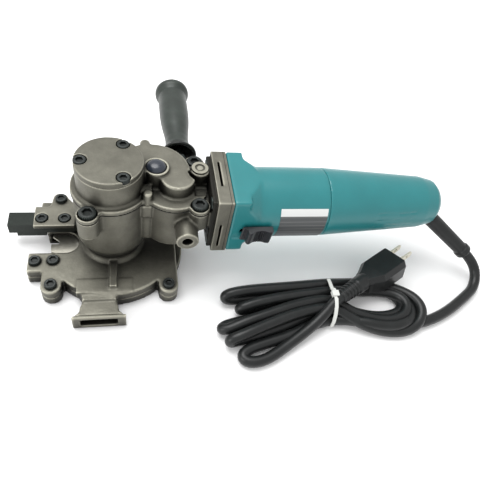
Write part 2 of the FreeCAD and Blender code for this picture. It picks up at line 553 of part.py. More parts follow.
def spur_gear(label, teeth, low, high, bore, at, turn=0.0):
    """Spur gear with straight-flanked stub teeth, slimmer than the space they run in."""
    name = label.title().replace("_", "")
    pitch = f"(spur_module * {teeth} / 2)"
    step = f"(spur_module * 3.14159)"
    body = doc.addObject("PartDesign::Body", name)
    sketch = body.newObject("Sketcher::SketchObject", name + "Disc")
    plane = next(f for f in body.Origin.OriginFeatures if f.Role == "XY_Plane")
    sketch.AttachmentSupport = [(plane, "")]
    sketch.MapMode = "FlatFace"
    for text in (f"{pitch} - spur_module", bore):
        ring = sketch.addGeometry(Part.Circle(Vector(0, 0, 0), Vector(0, 0, 1), size(text)))
        sketch.addConstraint(Sketcher.Constraint("Coincident", ring, 3, -1, 1))
        at_row = sketch.addConstraint(Sketcher.Constraint("Radius", ring, size(text)))
        sketch.setExpression(f"Constraints[{at_row}]", formula(text))
    pad = body.newObject("PartDesign::Pad", name + "Pad")
    pad.Profile = sketch
    bind(pad, "Length", f"({high}) - ({low})")
    tooth = sketch_on(body, name + "ToothOutline", "XY_Plane", [
        (f"{pitch} - spur_module * 1.4", f"-{step} * 0.29"), (f"{pitch} + spur_module * 0.7", f"-{step} * 0.11"),
        (f"{pitch} + spur_module * 0.7", f"{step} * 0.11"), (f"{pitch} - spur_module * 1.4", f"{step} * 0.29")])
    rise = body.newObject("PartDesign::Pad", name + "Tooth")
    rise.Profile = tooth
    bind(rise, "Length", f"({high}) - ({low})")
    ring = body.newObject("PartDesign::PolarPattern", name + "Teeth")
    ring.Originals = [rise]
    ring.Axis = (tooth, ["N_Axis"])
    ring.Angle = 360
    bind(ring, "Occurrences", teeth)
    body.Tip = ring
    return part(label, place(body, (at, "0", low), Rotation(Vector(0, 0, 1), turn)))


def bevel_gear(label, profile, sections, teeth, at, turn, spin):
    """Turned blank with one tooth lofted towards the cones' common tip, patterned round."""
    name = label.title().replace("_", "")
    body = doc.addObject("PartDesign::Body", name)
    blank = sketch_on(body, name + "Outline", "XZ_Plane", profile)
    base = body.newObject("PartDesign::Revolution", name + "Blank")
    base.Profile = blank
    base.ReferenceAxis = (blank, ["V_Axis"])
    base.Angle = 360
    (role, big, big_at), (_, small, small_at) = sections
    large = sketch_on(body, name + "Large", role, big, big_at)
    little = sketch_on(body, name + "Small", role, small, small_at)
    tooth = body.newObject("PartDesign::AdditiveLoft", name + "Tooth")
    tooth.Profile = large
    tooth.Sections = [little]
    tooth.Ruled = True
    ring = body.newObject("PartDesign::PolarPattern", name + "Teeth")
    ring.Originals = [tooth]
    ring.Axis = (blank, ["V_Axis"])
    ring.Angle = 360
    bind(ring, "Occurrences", teeth)
    body.Tip = ring
    return part(label, place(body, at, turn * Rotation(Vector(0, 0, 1), spin)))


def scaled(corners, factor):
    return [(f"({a}) * {factor}", f"({b}) * {factor}") for a, b in corners]


CONE_INNER = 0.68   # inner end of the bevel teeth, as a share of the distance to the common tip


def bevel_pair():
    """Ten-tooth pinion on the armature and thirty-tooth crown wheel on the layshaft."""
    crown = "(bevel_module * crown_teeth / 2)"
    small = "(bevel_module * bevel_teeth / 2)"
    # Crown wheel: local Z points down from the common tip's level to its back, teeth on the inside.
    tooth = [("-0.62", f"{small} + 0.75"), ("-0.28", f"{small} - 0.6"), ("0.28", f"{small} - 0.6"),
             ("0.62", f"{small} + 0.75")]
    bevel_gear("bevel_gear",
               [("0", f"{small} + 1.6"), ("lay_shaft", f"{small} + 1.6"), ("lay_shaft", "-1.5"),
                ("7", "-1.5"), ("7", f"({small} + 0.7) * 0.62"),
                (f"{crown} * 0.62", f"({small} + 0.7) * 0.62"), (f"{crown} + 0.2", f"{small} + 0.7"),
                (f"{crown} + 0.2", f"{small} + 3"), (f"{crown} - 3", f"{small} + 5.6"),
                ("0", f"{small} + 5.6")],
               [("YZ_Plane", tooth, crown), ("YZ_Plane", scaled(tooth, CONE_INNER), f"{crown} * {CONE_INNER}")],
               "crown_teeth", ("layshaft_east", "0", "motor_axis"), UP, 0.0)
    slim = [("-0.72", f"{small} - 1.6"), ("-0.26", f"{small} + 0.6"), ("0.26", f"{small} + 0.6"),
            ("0.72", f"{small} - 1.6")]
    bevel_gear("bevel_pinion",
               [("nose_radius", f"{crown} * {CONE_INNER}"),
                (f"({small} - 0.9) * {CONE_INNER}", f"{crown} * {CONE_INNER}"),
                (f"{small} - 0.9", crown), ("5.4", crown), ("5.4", f"{crown} + 4"),
                ("nose_radius", f"{crown} + 4")],
               [("XY_Plane", slim, crown), ("XY_Plane", scaled(slim, CONE_INNER), f"{crown} * {CONE_INNER}")],
               "bevel_teeth", ("layshaft_east", "0", "motor_axis"), EAST, 0.0)


def head_internals():
    """Spindle, layshaft, their gears, bearings, seal and the blade's flanges."""
    part("spindle", turned("Spindle", [
        ("0", "blade_low - 1.5"), ("arbor_radius - fit_gap", "blade_low - 1.5"),
        ("arbor_radius - fit_gap", "inner_flange_top"), ("spindle_hub", "inner_flange_top"),
        ("spindle_hub", "spindle_step"), ("spindle_shaft", "spindle_step"),
        ("spindle_shaft", "spindle_top"), ("0", "spindle_top")]))
    ring = cylinder("InnerFlangeDisc", "flange_radius", "inner_flange_top - blade_low - blade_thick",
                    ("0", "0", "blade_low + blade_thick"))
    part("inner_blade_flange", cut("InnerBladeFlange", ring, [
        cylinder("InnerFlangeBore", "arbor_radius", "30", ("0", "0", "0"))]))
    disc = cylinder("OuterFlangeDisc", "flange_radius", "blade_low - outer_flange_low",
                    ("0", "0", "outer_flange_low"))
    part("outer_blade_flange", cut("OuterBladeFlange", disc, [
        cylinder("OuterFlangeBore", "bolt_shank + hole_gap", "30", ("0", "0", "0")),
        cylinder("OuterFlangeStep", "arbor_radius", "30", ("0", "0", "blade_low - 1.5"))]))
    head = cylinder("BladeBoltHead", "blade_bolt_radius", "outer_flange_low - blade_bolt_low",
                    ("0", "0", "blade_bolt_low"))
    shank = cylinder("BladeBoltShank", "bolt_shank", "blade_low - 1.5 - blade_bolt_low",
                     ("0", "0", "blade_bolt_low"))
    key = doc.addObject("Part::Prism", "BladeBoltKey")
    key.Polygon = 6
    bind(key, "Circumradius", "large_key")
    bind(key, "Height", "2")
    place(key, ("0", "0", "blade_bolt_low - 0.2"))
    part("blade_bolt", cut("BladeBolt", fuse("BladeBoltSolid", [head, shank]), [key]))
    part("spindle_seal", turned("SpindleSeal", [
        ("spindle_hub + fit_gap", "case_top"), ("seal_radius", "case_top"), ("seal_radius", "seal_top"),
        ("spindle_hub + fit_gap", "seal_top")]))
    bearing("lower_spindle_bearing", "spindle_hub + fit_gap", "lower_race", "lower_race_top - seal_top",
            ("0", "0", "seal_top"))
    bearing("upper_spindle_bearing", "spindle_shaft + fit_gap", "upper_race",
            "upper_race_top - upper_race_low", ("0", "0", "upper_race_low"))
    spur_gear("spindle_gear", "wheel_teeth", "wheel_low", "wheel_top", "spindle_hub", "0")
    spur_gear("layshaft_pinion", "pinion_teeth", "wheel_low", "wheel_top", "lay_shaft", "layshaft_east",
              180.0 / SIZES["pinion_teeth"])
    part("layshaft", cylinder("Layshaft", "lay_shaft", "motor_axis + 6.3 - lay_race_low",
                              ("layshaft_east", "0", "lay_race_low + 0.3")))
    bearing("lower_layshaft_bearing", "lay_shaft + fit_gap", "lay_race", "lay_race_top - lay_race_low",
            ("layshaft_east", "0", "lay_race_low"))
    bearing("upper_layshaft_bearing", "lay_shaft + fit_gap", "web_race", "web_top - web_low",
            ("layshaft_east", "0", "web_low"))


def lock_button():
    """Spindle lock: domed button, its pin and the spring that lifts them."""
    part("lock_button", turned("LockButton", [
        ("0", "button_low"), ("button_radius", "button_low"), ("button_radius", "button_shoulder"),
        ("button_radius * 0.92", "button_shoulder + 1.7"), ("button_radius * 0.72", "button_shoulder + 3.1"),
        ("button_radius * 0.4", "button_shoulder + 4.1"), ("0", "button_top")],
        ("ring_east", "ring_north", "0")))
    part("lock_pin", turned("LockPin", [
        ("0", "pin_tip"), ("pin_collar", "pin_tip"), ("pin_collar", "collar_top"), ("pin_radius", "collar_top"),
        ("pin_radius", "button_low"), ("0", "button_low")], ("ring_east", "ring_north", "0")))
    spring = doc.addObject("Part::Helix", "SpringPath")
    bind(spring, "Radius", "spring_radius - spring_wire")
    bind(spring, "Height", "button_low - button_floor - spring_wire * 2.4")
    bind(spring, "Pitch", "(button_low - button_floor - spring_wire * 2.4) / 2.5")
    place(spring, ("ring_east", "ring_north", "button_floor + spring_wire * 1.2"))
    wire = doc.addObject("Part::Circle", "SpringWire")
    bind(wire, "Radius", "spring_wire")
    place(wire, ("ring_east + spring_radius - spring_wire", "ring_north",
                 "button_floor + spring_wire * 1.2"), Rotation(Vector(1, 0, 0), 90))
    coil = doc.addObject("Part::Sweep", "LockSpring")
    coil.Sections = [wire]
    coil.Spine = (spring, [])
    coil.Solid = True
    coil.Frenet = True
    part("lock_spring", coil)


def guide():
    """Black guide bar clamped under its bracket, with a wear strip below its free end."""
    bar = box("BarBlock", ("bar_left", "bar_near", "case_top"), ("bar_right", "bar_far", "bar_top"))
    part("guide_bar", cut("GuideBar", bar, holes("BarHole", "small_shank", bracket_places[:2], "0", "50") +
                          [cylinder("BarTowerGap", "lobe_radius + 0.3", "50")]))
    part("wear_strip", box("WearStrip", ("strip_left", "bar_near", "strip_low"),
                           ("strip_right", "strip_far", "case_top")))
    shoulder = [("bracket_right", "31"), ("bracket_right - 3", "34"), ("bracket_right - 6.8", "38.5"),
                ("bracket_right - 8.8", "bracket_far - 1"), ("bracket_right - 11.4", "bracket_far + 0.9"),
                ("bracket_right - 14.8", "bracket_far + 1.6"), ("bracket_right - 18", "bracket_far + 0.6"),
                ("bracket_right - 20", "bracket_far - 2.2"), ("bracket_right - 20.8", "37"),
                ("bracket_right - 21.4", "32"), ("bracket_right - 22.4", "bracket_step + 0.8"),
                ("bracket_right - 24", "bracket_step")]
    plate = padded("BracketPlate", [
        ("bracket_left", "bracket_near"), ("bracket_right", "bracket_near")] + shoulder + [
        ("bracket_left", "bracket_step")], "bar_top", "bracket_top")
    riser = padded("BracketRiser", [
        ("bracket_left + 2", "bar_far"), ("bracket_right", "bar_far")] + shoulder + [
        ("bracket_left + 2", "bracket_step")], "case_top", "bar_top")
    tools = holes("BracketHole", "small_shank", bracket_places, "0", "60")
    tools += [cylinder(f"BracketSeat{i}", "small_head + 0.5", "10", (x, y, "bracket_top - 2.5"))
              for i, (x, y, _) in enumerate(bracket_places[:2])]
    tools.append(cylinder("BracketTowerGap", "lobe_radius + 0.3", "50"))
    part("guide_bracket", cut("GuideBracket", fuse("BracketSolid", [plate, riser]), tools))


def all_screws():
    for label, kind, places, low, length in (
            ("cover_bolts", "small", corner_places, "case_top", "14"),
            ("prong_screws", "small", prong_places, "case_top - head_sink", "11"),
            ("case_bolts", "large", bolt_places, "ledge_top - bolt_sink", "19.6"),
            ("cap_screws", "small", cap_places, "cap_top - small_height + 0.3", "10")):
        part(label, screw_set(label.title().replace("_", ""), kind, places, low, length))
    part("bracket_screws", fuse("BracketScrews", [
        screw_set("ClampScrew", "small", bracket_places[:2], "bracket_top - 2.5", "12"),
        screw_set("LockScrew", "small", bracket_places[2:], "bracket_top", "22")]))


def flange_plate():
    """Square plate that carries the motor's front bearing, vented through two faces."""
    base = box("PlateBlock", ("neck_end", "-flange_half", "motor_axis - flange_half"),
               ("flange_right", "flange_half", "motor_axis + flange_half"))
    mid = "(neck_end + flange_right) / 2"
    tools = [cylinder("FrontRaceSeat", "front_race", "front_race_top - front_race_low",
                      ("front_race_low", "0", "motor_axis"), EAST),
             cylinder("PlateBore", "front_race - 4", "20", ("neck_end - 1", "0", "motor_axis"), EAST),
             cylinder("FanShadow", "fan_radius", "10", ("front_race_top + 0.2", "0", "motor_axis"), EAST),
             box("TopVent", (f"{mid} - vent_width / 2", "top_vent_north - vent_half", "motor_axis + 24"),
                 (f"{mid} + vent_width / 2", "top_vent_north + vent_half", "200")),
             box("FrontVent", (f"{mid} - vent_width / 2", "-200", "motor_axis + side_vent_up - vent_half"),
                 (f"{mid} + vent_width / 2", "-24", "motor_axis + side_vent_up + vent_half"))]
    tools += [cylinder(f"PlateScrewHole{i}", "small_shank + hole_gap", "20",
                       ("neck_end - 5", f"{a} * (neck_half - 6)", f"motor_axis + {b} * (neck_half - 6)"),
                       EAST) for i, (a, b) in enumerate(((-1, -1), (-1, 1), (1, -1), (1, 1)))]
    part("flange_plate", cut("FlangePlate", base, tools))
    made = []
    for i, (a, b) in enumerate(((-1, -1), (-1, 1), (1, -1), (1, 1))):
        spot = (f"{a} * (neck_half - 6)", f"motor_axis + {b} * (neck_half - 6)")
        made.append(cylinder(f"FlangeHead{i}", "small_head", "3.5", ("neck_flange", *spot), EAST))
        made.append(cylinder(f"FlangeShank{i}", "small_shank", "14", ("neck_flange + 1", *spot), EAST))
    part("flange_screws", fuse("FlangeScrews", made))


def motor_housing():
    """Front half of the motor's plastic body: square flange running out into a tube."""
    square = box("MotorSquare", ("flange_right", "-flange_half", "motor_axis - flange_half"),
                 ("square_right", "flange_half", "motor_axis + flange_half"))
    ramp = turned("MotorTube", [("0", "0"), ("motor_radius * 1.3", "0"),
                                ("motor_radius * 1.3", "square_right - flange_right - 5"),
                                ("motor_radius", "taper_right - flange_right"),
                                ("motor_radius", "seam - flange_right"),
                                ("0", "seam - flange_right")], ("flange_right", "0", "motor_axis"), EAST)
    keep = box("MotorKeep", ("flange_right", "-flange_half", "motor_axis - flange_half"),
               ("seam", "flange_half", "motor_axis + flange_half"))
    shell = common("MotorOutside", [fuse("MotorSolid", [square, ramp]), keep])
    tools = [cylinder("MotorBore", "motor_bore", "200", ("flange_right - 1", "0", "motor_axis"), EAST)]
    tilt = Rotation(Vector(1, 0, 0), SIZES["slide_tilt"])
    tools.append(tilted_box("SlideRecess", ("slide_left - 7", "-200", "-recess_half"),
                            ("slide_right + 1", "-recess_depth", "recess_half"), tilt))
    tools.append(tilted_box("SlideSlot", ("slide_left", "-200", "-2.5"),
                            ("slide_right - 4", "-20", "2.5"), tilt))
    part("motor_housing", cut("MotorHousing", shell, tools))


def tilted_box(name, low, high, tilt):
    """A box given about the motor axis, turned about that axis by the slide's tilt."""
    thing = doc.addObject("Part::Box", name)
    for prop, start, end in zip(("Length", "Width", "Height"), low, high):
        bind(thing, prop, f"({end}) - ({start})")
    corner = tilt.multVec(Vector(*(size(text) for text in low)))
    thing.Placement = Placement(corner + Vector(0, 0, size("motor_axis")), tilt)
    return thing


def motor_internals():
    """Armature with its fan, windings and commutator, the field round it, brushes and bearings."""
    axis = ("0", "0", "motor_axis")
    part("armature_shaft", turned("ArmatureShaft", [
        ("0", "layshaft_east + 10.5"), ("nose_radius", "layshaft_east + 10.5"),
        ("nose_radius", "layshaft_east + 19"), ("shaft_radius", "layshaft_east + 19"),
        ("shaft_radius", "rear_race_left - 1"), ("shaft_radius - 1", "rear_race_left - 1"),
        ("shaft_radius - 1", "rear_race_right + 0.5"), ("0", "rear_race_right + 0.5")], axis, EAST))
    bearing("front_motor_bearing", "shaft_radius + fit_gap", "front_race", "front_race_top - front_race_low",
            ("front_race_low", "0", "motor_axis"), EAST)
    bearing("rear_motor_bearing", "shaft_radius - 1 + fit_gap", "rear_race",
            "rear_race_right - rear_race_left", ("rear_race_left", "0", "motor_axis"), EAST)
    hub = turned("FanHub", [("shaft_radius", "fan_left"), ("fan_radius - 1", "fan_left + 7"),
                            ("fan_radius - 1", "fan_left + 8.5"), ("shaft_radius", "fan_right")], axis, EAST)
    blades = []
    for i in range(9):
        blade = doc.addObject("Part::Box", f"FanBlade{i}")
        bind(blade, "Length", "7")
        bind(blade, "Width", "1.2")
        bind(blade, "Height", "fan_radius - 9")
        turn = Rotation(Vector(1, 0, 0), 40 * i)
        blade.Placement = Placement(turn.multVec(Vector(size("fan_left"), -0.6, 8)) +
                                    Vector(0, 0, size("motor_axis")), turn)
        blades.append(blade)
    part("cooling_fan", fuse("CoolingFan", [hub] + blades))
    core = turned("CoreStack", [("shaft_radius", "field_left"), ("core_radius", "field_left"),
                                ("core_radius", "field_right"), ("shaft_radius", "field_right")], axis, EAST)
    slots = []
    for i in range(12):
        slot = doc.addObject("Part::Box", f"CoreSlot{i}")
        bind(slot, "Length", "field_right - field_left")
        bind(slot, "Width", "2.2")
        bind(slot, "Height", "7")
        turn = Rotation(Vector(1, 0, 0), 30 * i)
        slot.Placement = Placement(turn.multVec(Vector(size("field_left"), -1.1, 12)) +
                                   Vector(0, 0, size("motor_axis")), turn)
        slots.append(slot)
    part("armature_core", cut("ArmatureCore", core, slots))
    part("armature_winding", fuse("ArmatureWinding", [turned(name, [
        ("shaft_radius", low), ("core_radius - 5", low), ("core_radius - 3", f"({low}) + 2"),
        ("core_radius - 3", f"({high}) - 2"), ("core_radius - 5", high), ("shaft_radius", high)],
        axis, EAST) for name, low, high in (
            ("FrontWinding", "field_left - coil_overhang", "field_left"),
            ("RearWinding", "field_right", "field_right + coil_overhang + 4"))]))
    tube = turned("CommutatorTube", [
        ("shaft_radius", "commutator_left - 4"), ("commutator_radius + 2", "commutator_left - 4"),
        ("commutator_radius + 2", "commutator_left"), ("commutator_radius", "commutator_left"),
        ("commutator_radius", "commutator_right"), ("shaft_radius", "commutator_right")], axis, EAST)
    part("commutator", tube)
    stack = turned("FieldStack", [("field_bore", "field_left"), ("motor_bore", "field_left"),
                                  ("motor_bore", "field_right"), ("field_bore", "field_right")], axis, EAST)
    part("field_core", stack)
    coils = []
    for i, (low, high) in enumerate((("field_left - 7", "field_left"), ("field_right", "field_right + 7"))):
        coils.append(turned(f"FieldCoil{i}", [("field_bore + 1", low), ("motor_bore - 1.5", low),
                                              ("motor_bore - 1.5", high), ("field_bore + 1", high)],
                            axis, EAST))
    part("field_coils", fuse("FieldCoils", coils))
    frame = turned("BrushFrameTube", [
        ("motor_bore - 3", "field_right + 9"), ("motor_bore", "field_right + 9"), ("motor_bore", "seam"),
        ("frame_radius", "seam"), ("frame_radius", "frame_right"), ("shaft_radius + 1", "frame_right"),
        ("shaft_radius + 1", "rear_race_right"), ("rear_race", "rear_race_right"),
        ("rear_race", "rear_race_left"), ("frame_radius - 3", "rear_race_left"),
        ("frame_radius - 3", "seam"), ("motor_bore - 3", "seam")], axis, EAST)
    ports = box("BrushPorts", ("commutator_left + 2", "-7", "motor_axis - 60"),
                ("commutator_right - 1", "7", "motor_axis + 60"))
    part("brush_frame", cut("BrushFrame", frame, [ports]))
    holders, brushes, springs = [], [], []
    for i, way in enumerate((1, -1)):
        ends = ("motor_axis + brush_low + 2", "motor_axis + frame_radius - 1.2") if way > 0 else \
               ("motor_axis - frame_radius + 1.2", "motor_axis - brush_low - 2")
        shell = box(f"HolderShell{i}", ("commutator_left + 2", "-7", ends[0]),
                    ("commutator_right - 1", "7", ends[1]))
        bore = box(f"HolderBore{i}", ("commutator_left + 3", "-6", "motor_axis - 60"),
                   ("commutator_right - 2", "6", "motor_axis + 60"))
        holders.append(cut(f"Holder{i}", shell, [bore]))
        reach = ("motor_axis + brush_low", "motor_axis + brush_high") if way > 0 else \
                ("motor_axis - brush_high", "motor_axis - brush_low")
        block = box(f"BrushBlock{i}", ("commutator_left + 3", "-6", reach[0]),
                    ("commutator_right - 2", "6", reach[1]))
        face = cylinder(f"BrushFace{i}", "commutator_radius + 0.1", "60",
                        ("commutator_left - 10", "0", "motor_axis"), EAST)
        brushes.append(cut(f"Brush{i}", block, [face]))
        leaf = ("motor_axis + brush_high", "motor_axis + brush_high + 1") if way > 0 else \
               ("motor_axis - brush_high - 1", "motor_axis - brush_high")
        springs.append(box(f"BrushSpring{i}", ("commutator_left + 4", "-4", leaf[0]),
                           ("commutator_right - 3", "4", leaf[1])))
    part("brush_holders", fuse("BrushHolders", holders))
    part("carbon_brushes", fuse("CarbonBrushes", brushes))
    part("brush_springs", fuse("BrushSprings", springs))


def rear_cover():
    """Tapered rear half of the motor body, hollow, with vents on both sides."""
    axis = ("0", "0", "motor_axis")
    part_wall = "cover_wall"
    shell = turned("TailShell", [
        ("frame_radius + 0.2", "seam"), ("motor_radius", "seam"), ("tail_radius", "tail_round"),
        ("tail_radius - 3", "tail - 5"), ("tail_tip", "tail"), ("0", "tail"),
        ("0", "tail - cover_wall"), (f"tail_tip - {part_wall}", "tail - cover_wall"),
        (f"tail_radius - 3 - {part_wall}", "tail - 7"), (f"tail_radius - {part_wall}", "tail_round"),
        ("frame_radius + 0.2", "frame_right - 8")], axis, EAST)
    tools = []
    for i, angle in enumerate((22, 7, -9, -25)):
        for side in (1, -1):
            slot = doc.addObject("Part::Box", f"TailVent{i}{'Near' if side > 0 else 'Far'}")
            bind(slot, "Length", "slot_end - slot_start")
            bind(slot, "Width", "15")
            bind(slot, "Height", "slot_height")
            turn = Rotation(Vector(1, 0, 0), -angle * side)
            corner = Vector(size("slot_start"), -35 if side > 0 else 20, -0.9)
            slot.Placement = Placement(turn.multVec(corner) + Vector(0, 0, size("motor_axis")), turn)
            tools.append(slot)
    hole = [f"{a:.3f}" for a in GUARD_START - GUARD_WAY * 12]
    tools.append(cylinder("GuardHole", "guard_root", "30", hole, GUARD_TURN))
    part("rear_cover", cut("RearCover", shell, tools))


GUARD_START = Vector(298.0, -5.0, 59.5)
GUARD_WAY = Vector(52, -27, -33).normalize()
GUARD_TURN = Rotation(Vector(0, 0, 1), GUARD_WAY)


def switch():
    """Slide on the motor's side, the rod that it pulls and the switch in the rear cover."""
    tilt = Rotation(Vector(1, 0, 0), SIZES["slide_tilt"])
    pad = tilted_box("SlidePad", ("slide_left", "-slide_outer", "-slide_half"),
                     ("slide_right", "-slide_inner", "slide_half"), tilt)
    ridge = tilted_box("SlideRidge", ("slide_left + 3", "-slide_outer - 3.5", "-slide_half"),
                       ("slide_left + 7", "-slide_outer", "slide_half"), tilt)
    leg = tilted_box("SlideLeg", ("slide_left + 8", "-slide_inner", "-2.45"),
                     ("slide_left + 14", "-29.2", "2.45"), tilt)
    part("switch_slide", fuse("SwitchSlide", [pad, ridge, leg]))
    part("switch_body", fuse("SwitchBody", [
        box("SwitchCase", ("switch_left", "-14", "motor_axis - 12"), ("switch_right", "14", "motor_axis + 12")),
        box("SwitchArm", ("frame_right", "-10", "motor_axis - 8"),
            ("switch_left + 1", "10", "motor_axis - 4"))]))


def rating_label():
    """Thin plate wrapped on the motor's near side, left blank."""
    ring = turned("LabelRing", [("motor_radius", "label_left"), ("motor_radius + label_thick", "label_left"),
                                ("motor_radius + label_thick", "label_right"),
                                ("motor_radius", "label_right")], ("0", "0", "motor_axis"), EAST)
    keep = box("LabelKeep", ("0", "-200", "motor_axis - 19"), ("300", "0", "motor_axis + 18"))
    part("rating_label", common("RatingLabel", [ring, keep]))


def side_handle():
    """Stud with a hexagon collar, screwed into the far socket, and the rubber grip on it."""
    hexagon = doc.addObject("Part::Prism", "StudHexagon")
    hexagon.Polygon = 6
    bind(hexagon, "Circumradius", "hex_radius")
    bind(hexagon, "Height", "hex_end - socket_mouth")
    place(hexagon, ("socket_east", "socket_mouth", "motor_axis"), NORTH)
    rod = cylinder("StudRod", "stud_radius", "grip_end - 12 - stud_start",
                   ("socket_east", "stud_start", "motor_axis"), NORTH)
    part("handle_stud", fuse("HandleStud", [hexagon, rod]))
    part("handle_grip", turned("HandleGrip", [
        ("stud_radius", "grip_start + 12"), ("9.5", "grip_start + 6"), ("14", "grip_start"),
        ("16.5", "grip_start"), ("17", "grip_start + 2"), ("11.5", "grip_start + 9"), ("10.9", "grip_start + 22"),
        ("12.6", "grip_start + 38"), ("14.3", "grip_start + 56"), ("14.4", "grip_start + 76"),
        ("14.1", "grip_end - 12"), ("17", "grip_end - 7"), ("17", "grip_end - 2.5"), ("14", "grip_end"),
        ("0", "grip_end"), ("0", "grip_end - 12"), ("stud_radius", "grip_end - 12")],
        ("socket_east", "0", "motor_axis"), NORTH))


# ---- cord, hank and plug ----
CORD_ROUTE = [(361.0, -60.0, 5.2), (340.0, -73.5, 5.2), (316.0, -87.0, 5.2),
              (291.0, -96.0, 5.2)]
HANK_LOW = [(92, -60), (86, -88), (90, -108), (98, -128), (112, -132), (168, -108), (205, -97),
            (236, -108), (262, -111), (290, -105), (296, -90), (292, -72), (280, -60), (262, -50),
            (205, -46), (120, -52), (98, -55)]
HANK_HIGH = [(106, -62), (106, -108), (196, -93), (196, -52)]
PLUG_AT = Vector(199.0, -77.0, 24.0)
PLUG_TURN = Rotation(Vector(0, 0, 1), 30.0)


def tube_path(route):
    """Straight runs joined by tangent arcs; each arc takes 0.45 of the shorter run beside it."""
    spots = [Vector(*spot) for spot in route]
    edges, start = [], spots[0]
    for before, corner, after in zip(spots, spots[1:], spots[2:]):
        back, ahead = (before - corner), (after - corner)
        reach = 0.45 * min(back.Length, ahead.Length)
        back.normalize()
        ahead.normalize()
        half_turn = (math.pi - back.getAngle(ahead)) / 2
        radius = reach / math.tan(half_turn)
        first, last = corner + back * reach, corner + ahead * reach
        middle_way = (back + ahead).normalize()
        centre = corner + middle_way * math.hypot(reach, radius)
        edges.append(Part.LineSegment(start, first).toShape())
        edges.append(Part.Arc(first, centre - middle_way * radius, last).toShape())
        print(f"cord arc radius {radius:.1f} mm, {radius / (2 * SIZES['cord_radius']):.1f} diameters")
        start = last
    edges.append(Part.LineSegment(start, spots[-1]).toShape())
    return Part.Wire(edges)


def feature(label, shape):
    """A shape made directly, where no sketch or primitive fits, as a cord's free path."""
    thing = doc.addObject("Part::Feature", label.title().replace("_", ""))
    thing.Shape = shape
    return part(label, thing)


def outline_solid(corners, low, high):
    wire = Part.makePolygon([Vector(x, y, low) for x, y in corners + corners[:1]])
    return Part.Face(wire).extrude(Vector(0, 0, high - low))


def cord_and_plug():
    start = [f"{a:.3f}" for a in GUARD_START]
    collar = [f"{a:.3f}" for a in GUARD_START - GUARD_WAY * 6]
    part("cord_guard", fuse("CordGuard", [
        cylinder("GuardRoot", "guard_root", "6.01", collar, GUARD_TURN),
        cone("GuardTaper", "guard_root", "guard_tip", "guard_length", start, GUARD_TURN)]))
    tip = GUARD_START + GUARD_WAY * SIZES["guard_length"]
    path = tube_path([tuple(tip), tuple(tip + GUARD_WAY * 20)] + CORD_ROUTE)
    section = Part.Wire(Part.makeCircle(SIZES["cord_radius"], path.Vertexes[0].Point,
                                        path.Edges[0].tangentAt(0)))
    tube = path.makePipeShell([section], True, False)
    want = math.pi * SIZES["cord_radius"] ** 2 * path.Length
    print(f"cord tube {path.Length:.1f} mm, volume {tube.Volume:.0f}, wanted {want:.0f}")
    hank = outline_solid(HANK_LOW, 0, 11).fuse(outline_solid(HANK_HIGH, 0, 23)).removeSplitter()
    feature("power_cord", tube.cut(hank))
    tie_gap = Part.makeBox(5, 60, 40, Vector(192.5, -104, -1))
    feature("cord_hank", hank.cut(tie_gap.common(hank).cut(
        Part.makeBox(9, 42.4, 21.6, Vector(190.5, -94.2, 0.7)))))
    ring = Part.makeBox(4.6, 44.6, 23.4, Vector(192.7, -95.3, 0.01))
    inside = Part.makeBox(9, 42.4, 21.6, Vector(190.5, -94.2, 0.7))
    head = Part.makeBox(7, 6, 5, Vector(191.5, -78, 23.4))
    feature("cable_tie", ring.cut(inside).fuse(head).removeSplitter())
    place_plug = Placement(PLUG_AT, PLUG_TURN)
    collar = Part.makeCone(6.2, 7.8, 32, Vector(2, 0, 0), Vector(1, 0, 0))
    block = outline_solid([(33, -9), (48, -15), (80, -15), (80, 15), (48, 15), (33, 9)], -13, 9)
    plug_body = collar.fuse(block).removeSplitter()
    plug_body.Placement = place_plug
    feature("plug_body", plug_body)
    blades = [Part.makeBox(19, 1.5, 6.4, Vector(80, y - 0.75, 0.0)) for y in (-6.35, 6.35)]
    blades.append(Part.makeCylinder(2.4, 22, Vector(80, 0, -8.2), Vector(1, 0, 0)))
    prongs = Part.makeCompound(blades)
    prongs.Placement = place_plug
    feature("plug_prongs", prongs)


lower_blade_cover()
gear_housing()
case_gasket()
gear_cover()
oil_plug()
spindle_cap()
saw_blade()
bevel_pair()
head_internals()
lock_button()
guide()
all_screws()
flange_plate()
motor_housing()
motor_internals()
rear_cover()
switch()
rating_label()
side_handle()
cord_and_plug()
doc.recompute()

for thing in doc.Objects:
    if "Invalid" in thing.State or "Error" in thing.State:
        raise RuntimeError(f"{thing.Name} failed: {thing.State}")
for label, thing in parts.items():
    if thing.Shape.isNull() or not thing.Shape.isValid():
        raise RuntimeError(f"{label} has no valid shape")
os.makedirs("parts", exist_ok=True)
for label, thing in parts.items():
    thing.Shape.exportStep(f"parts/{label}.step")
    bounds = thing.Shape.BoundBox
    print(f"{label}: {len(thing.Shape.Solids)} solids, {thing.Shape.Volume:.0f} mm3, "
          f"x {bounds.XMin:.1f}..{bounds.XMax:.1f} y {bounds.YMin:.1f}..{bounds.YMax:.1f} "
          f"z {bounds.ZMin:.1f}..{bounds.ZMax:.1f}")
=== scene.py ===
"""Flush-cut rebar saw: gear head with its blade case, motor, side handle and tied cord.

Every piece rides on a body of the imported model. Lengths are in metres, the blade's axis is +Z
through the origin and the motor points along +X.
"""
import json
import math

import bmesh
import bpy
from mathutils import Matrix, Vector


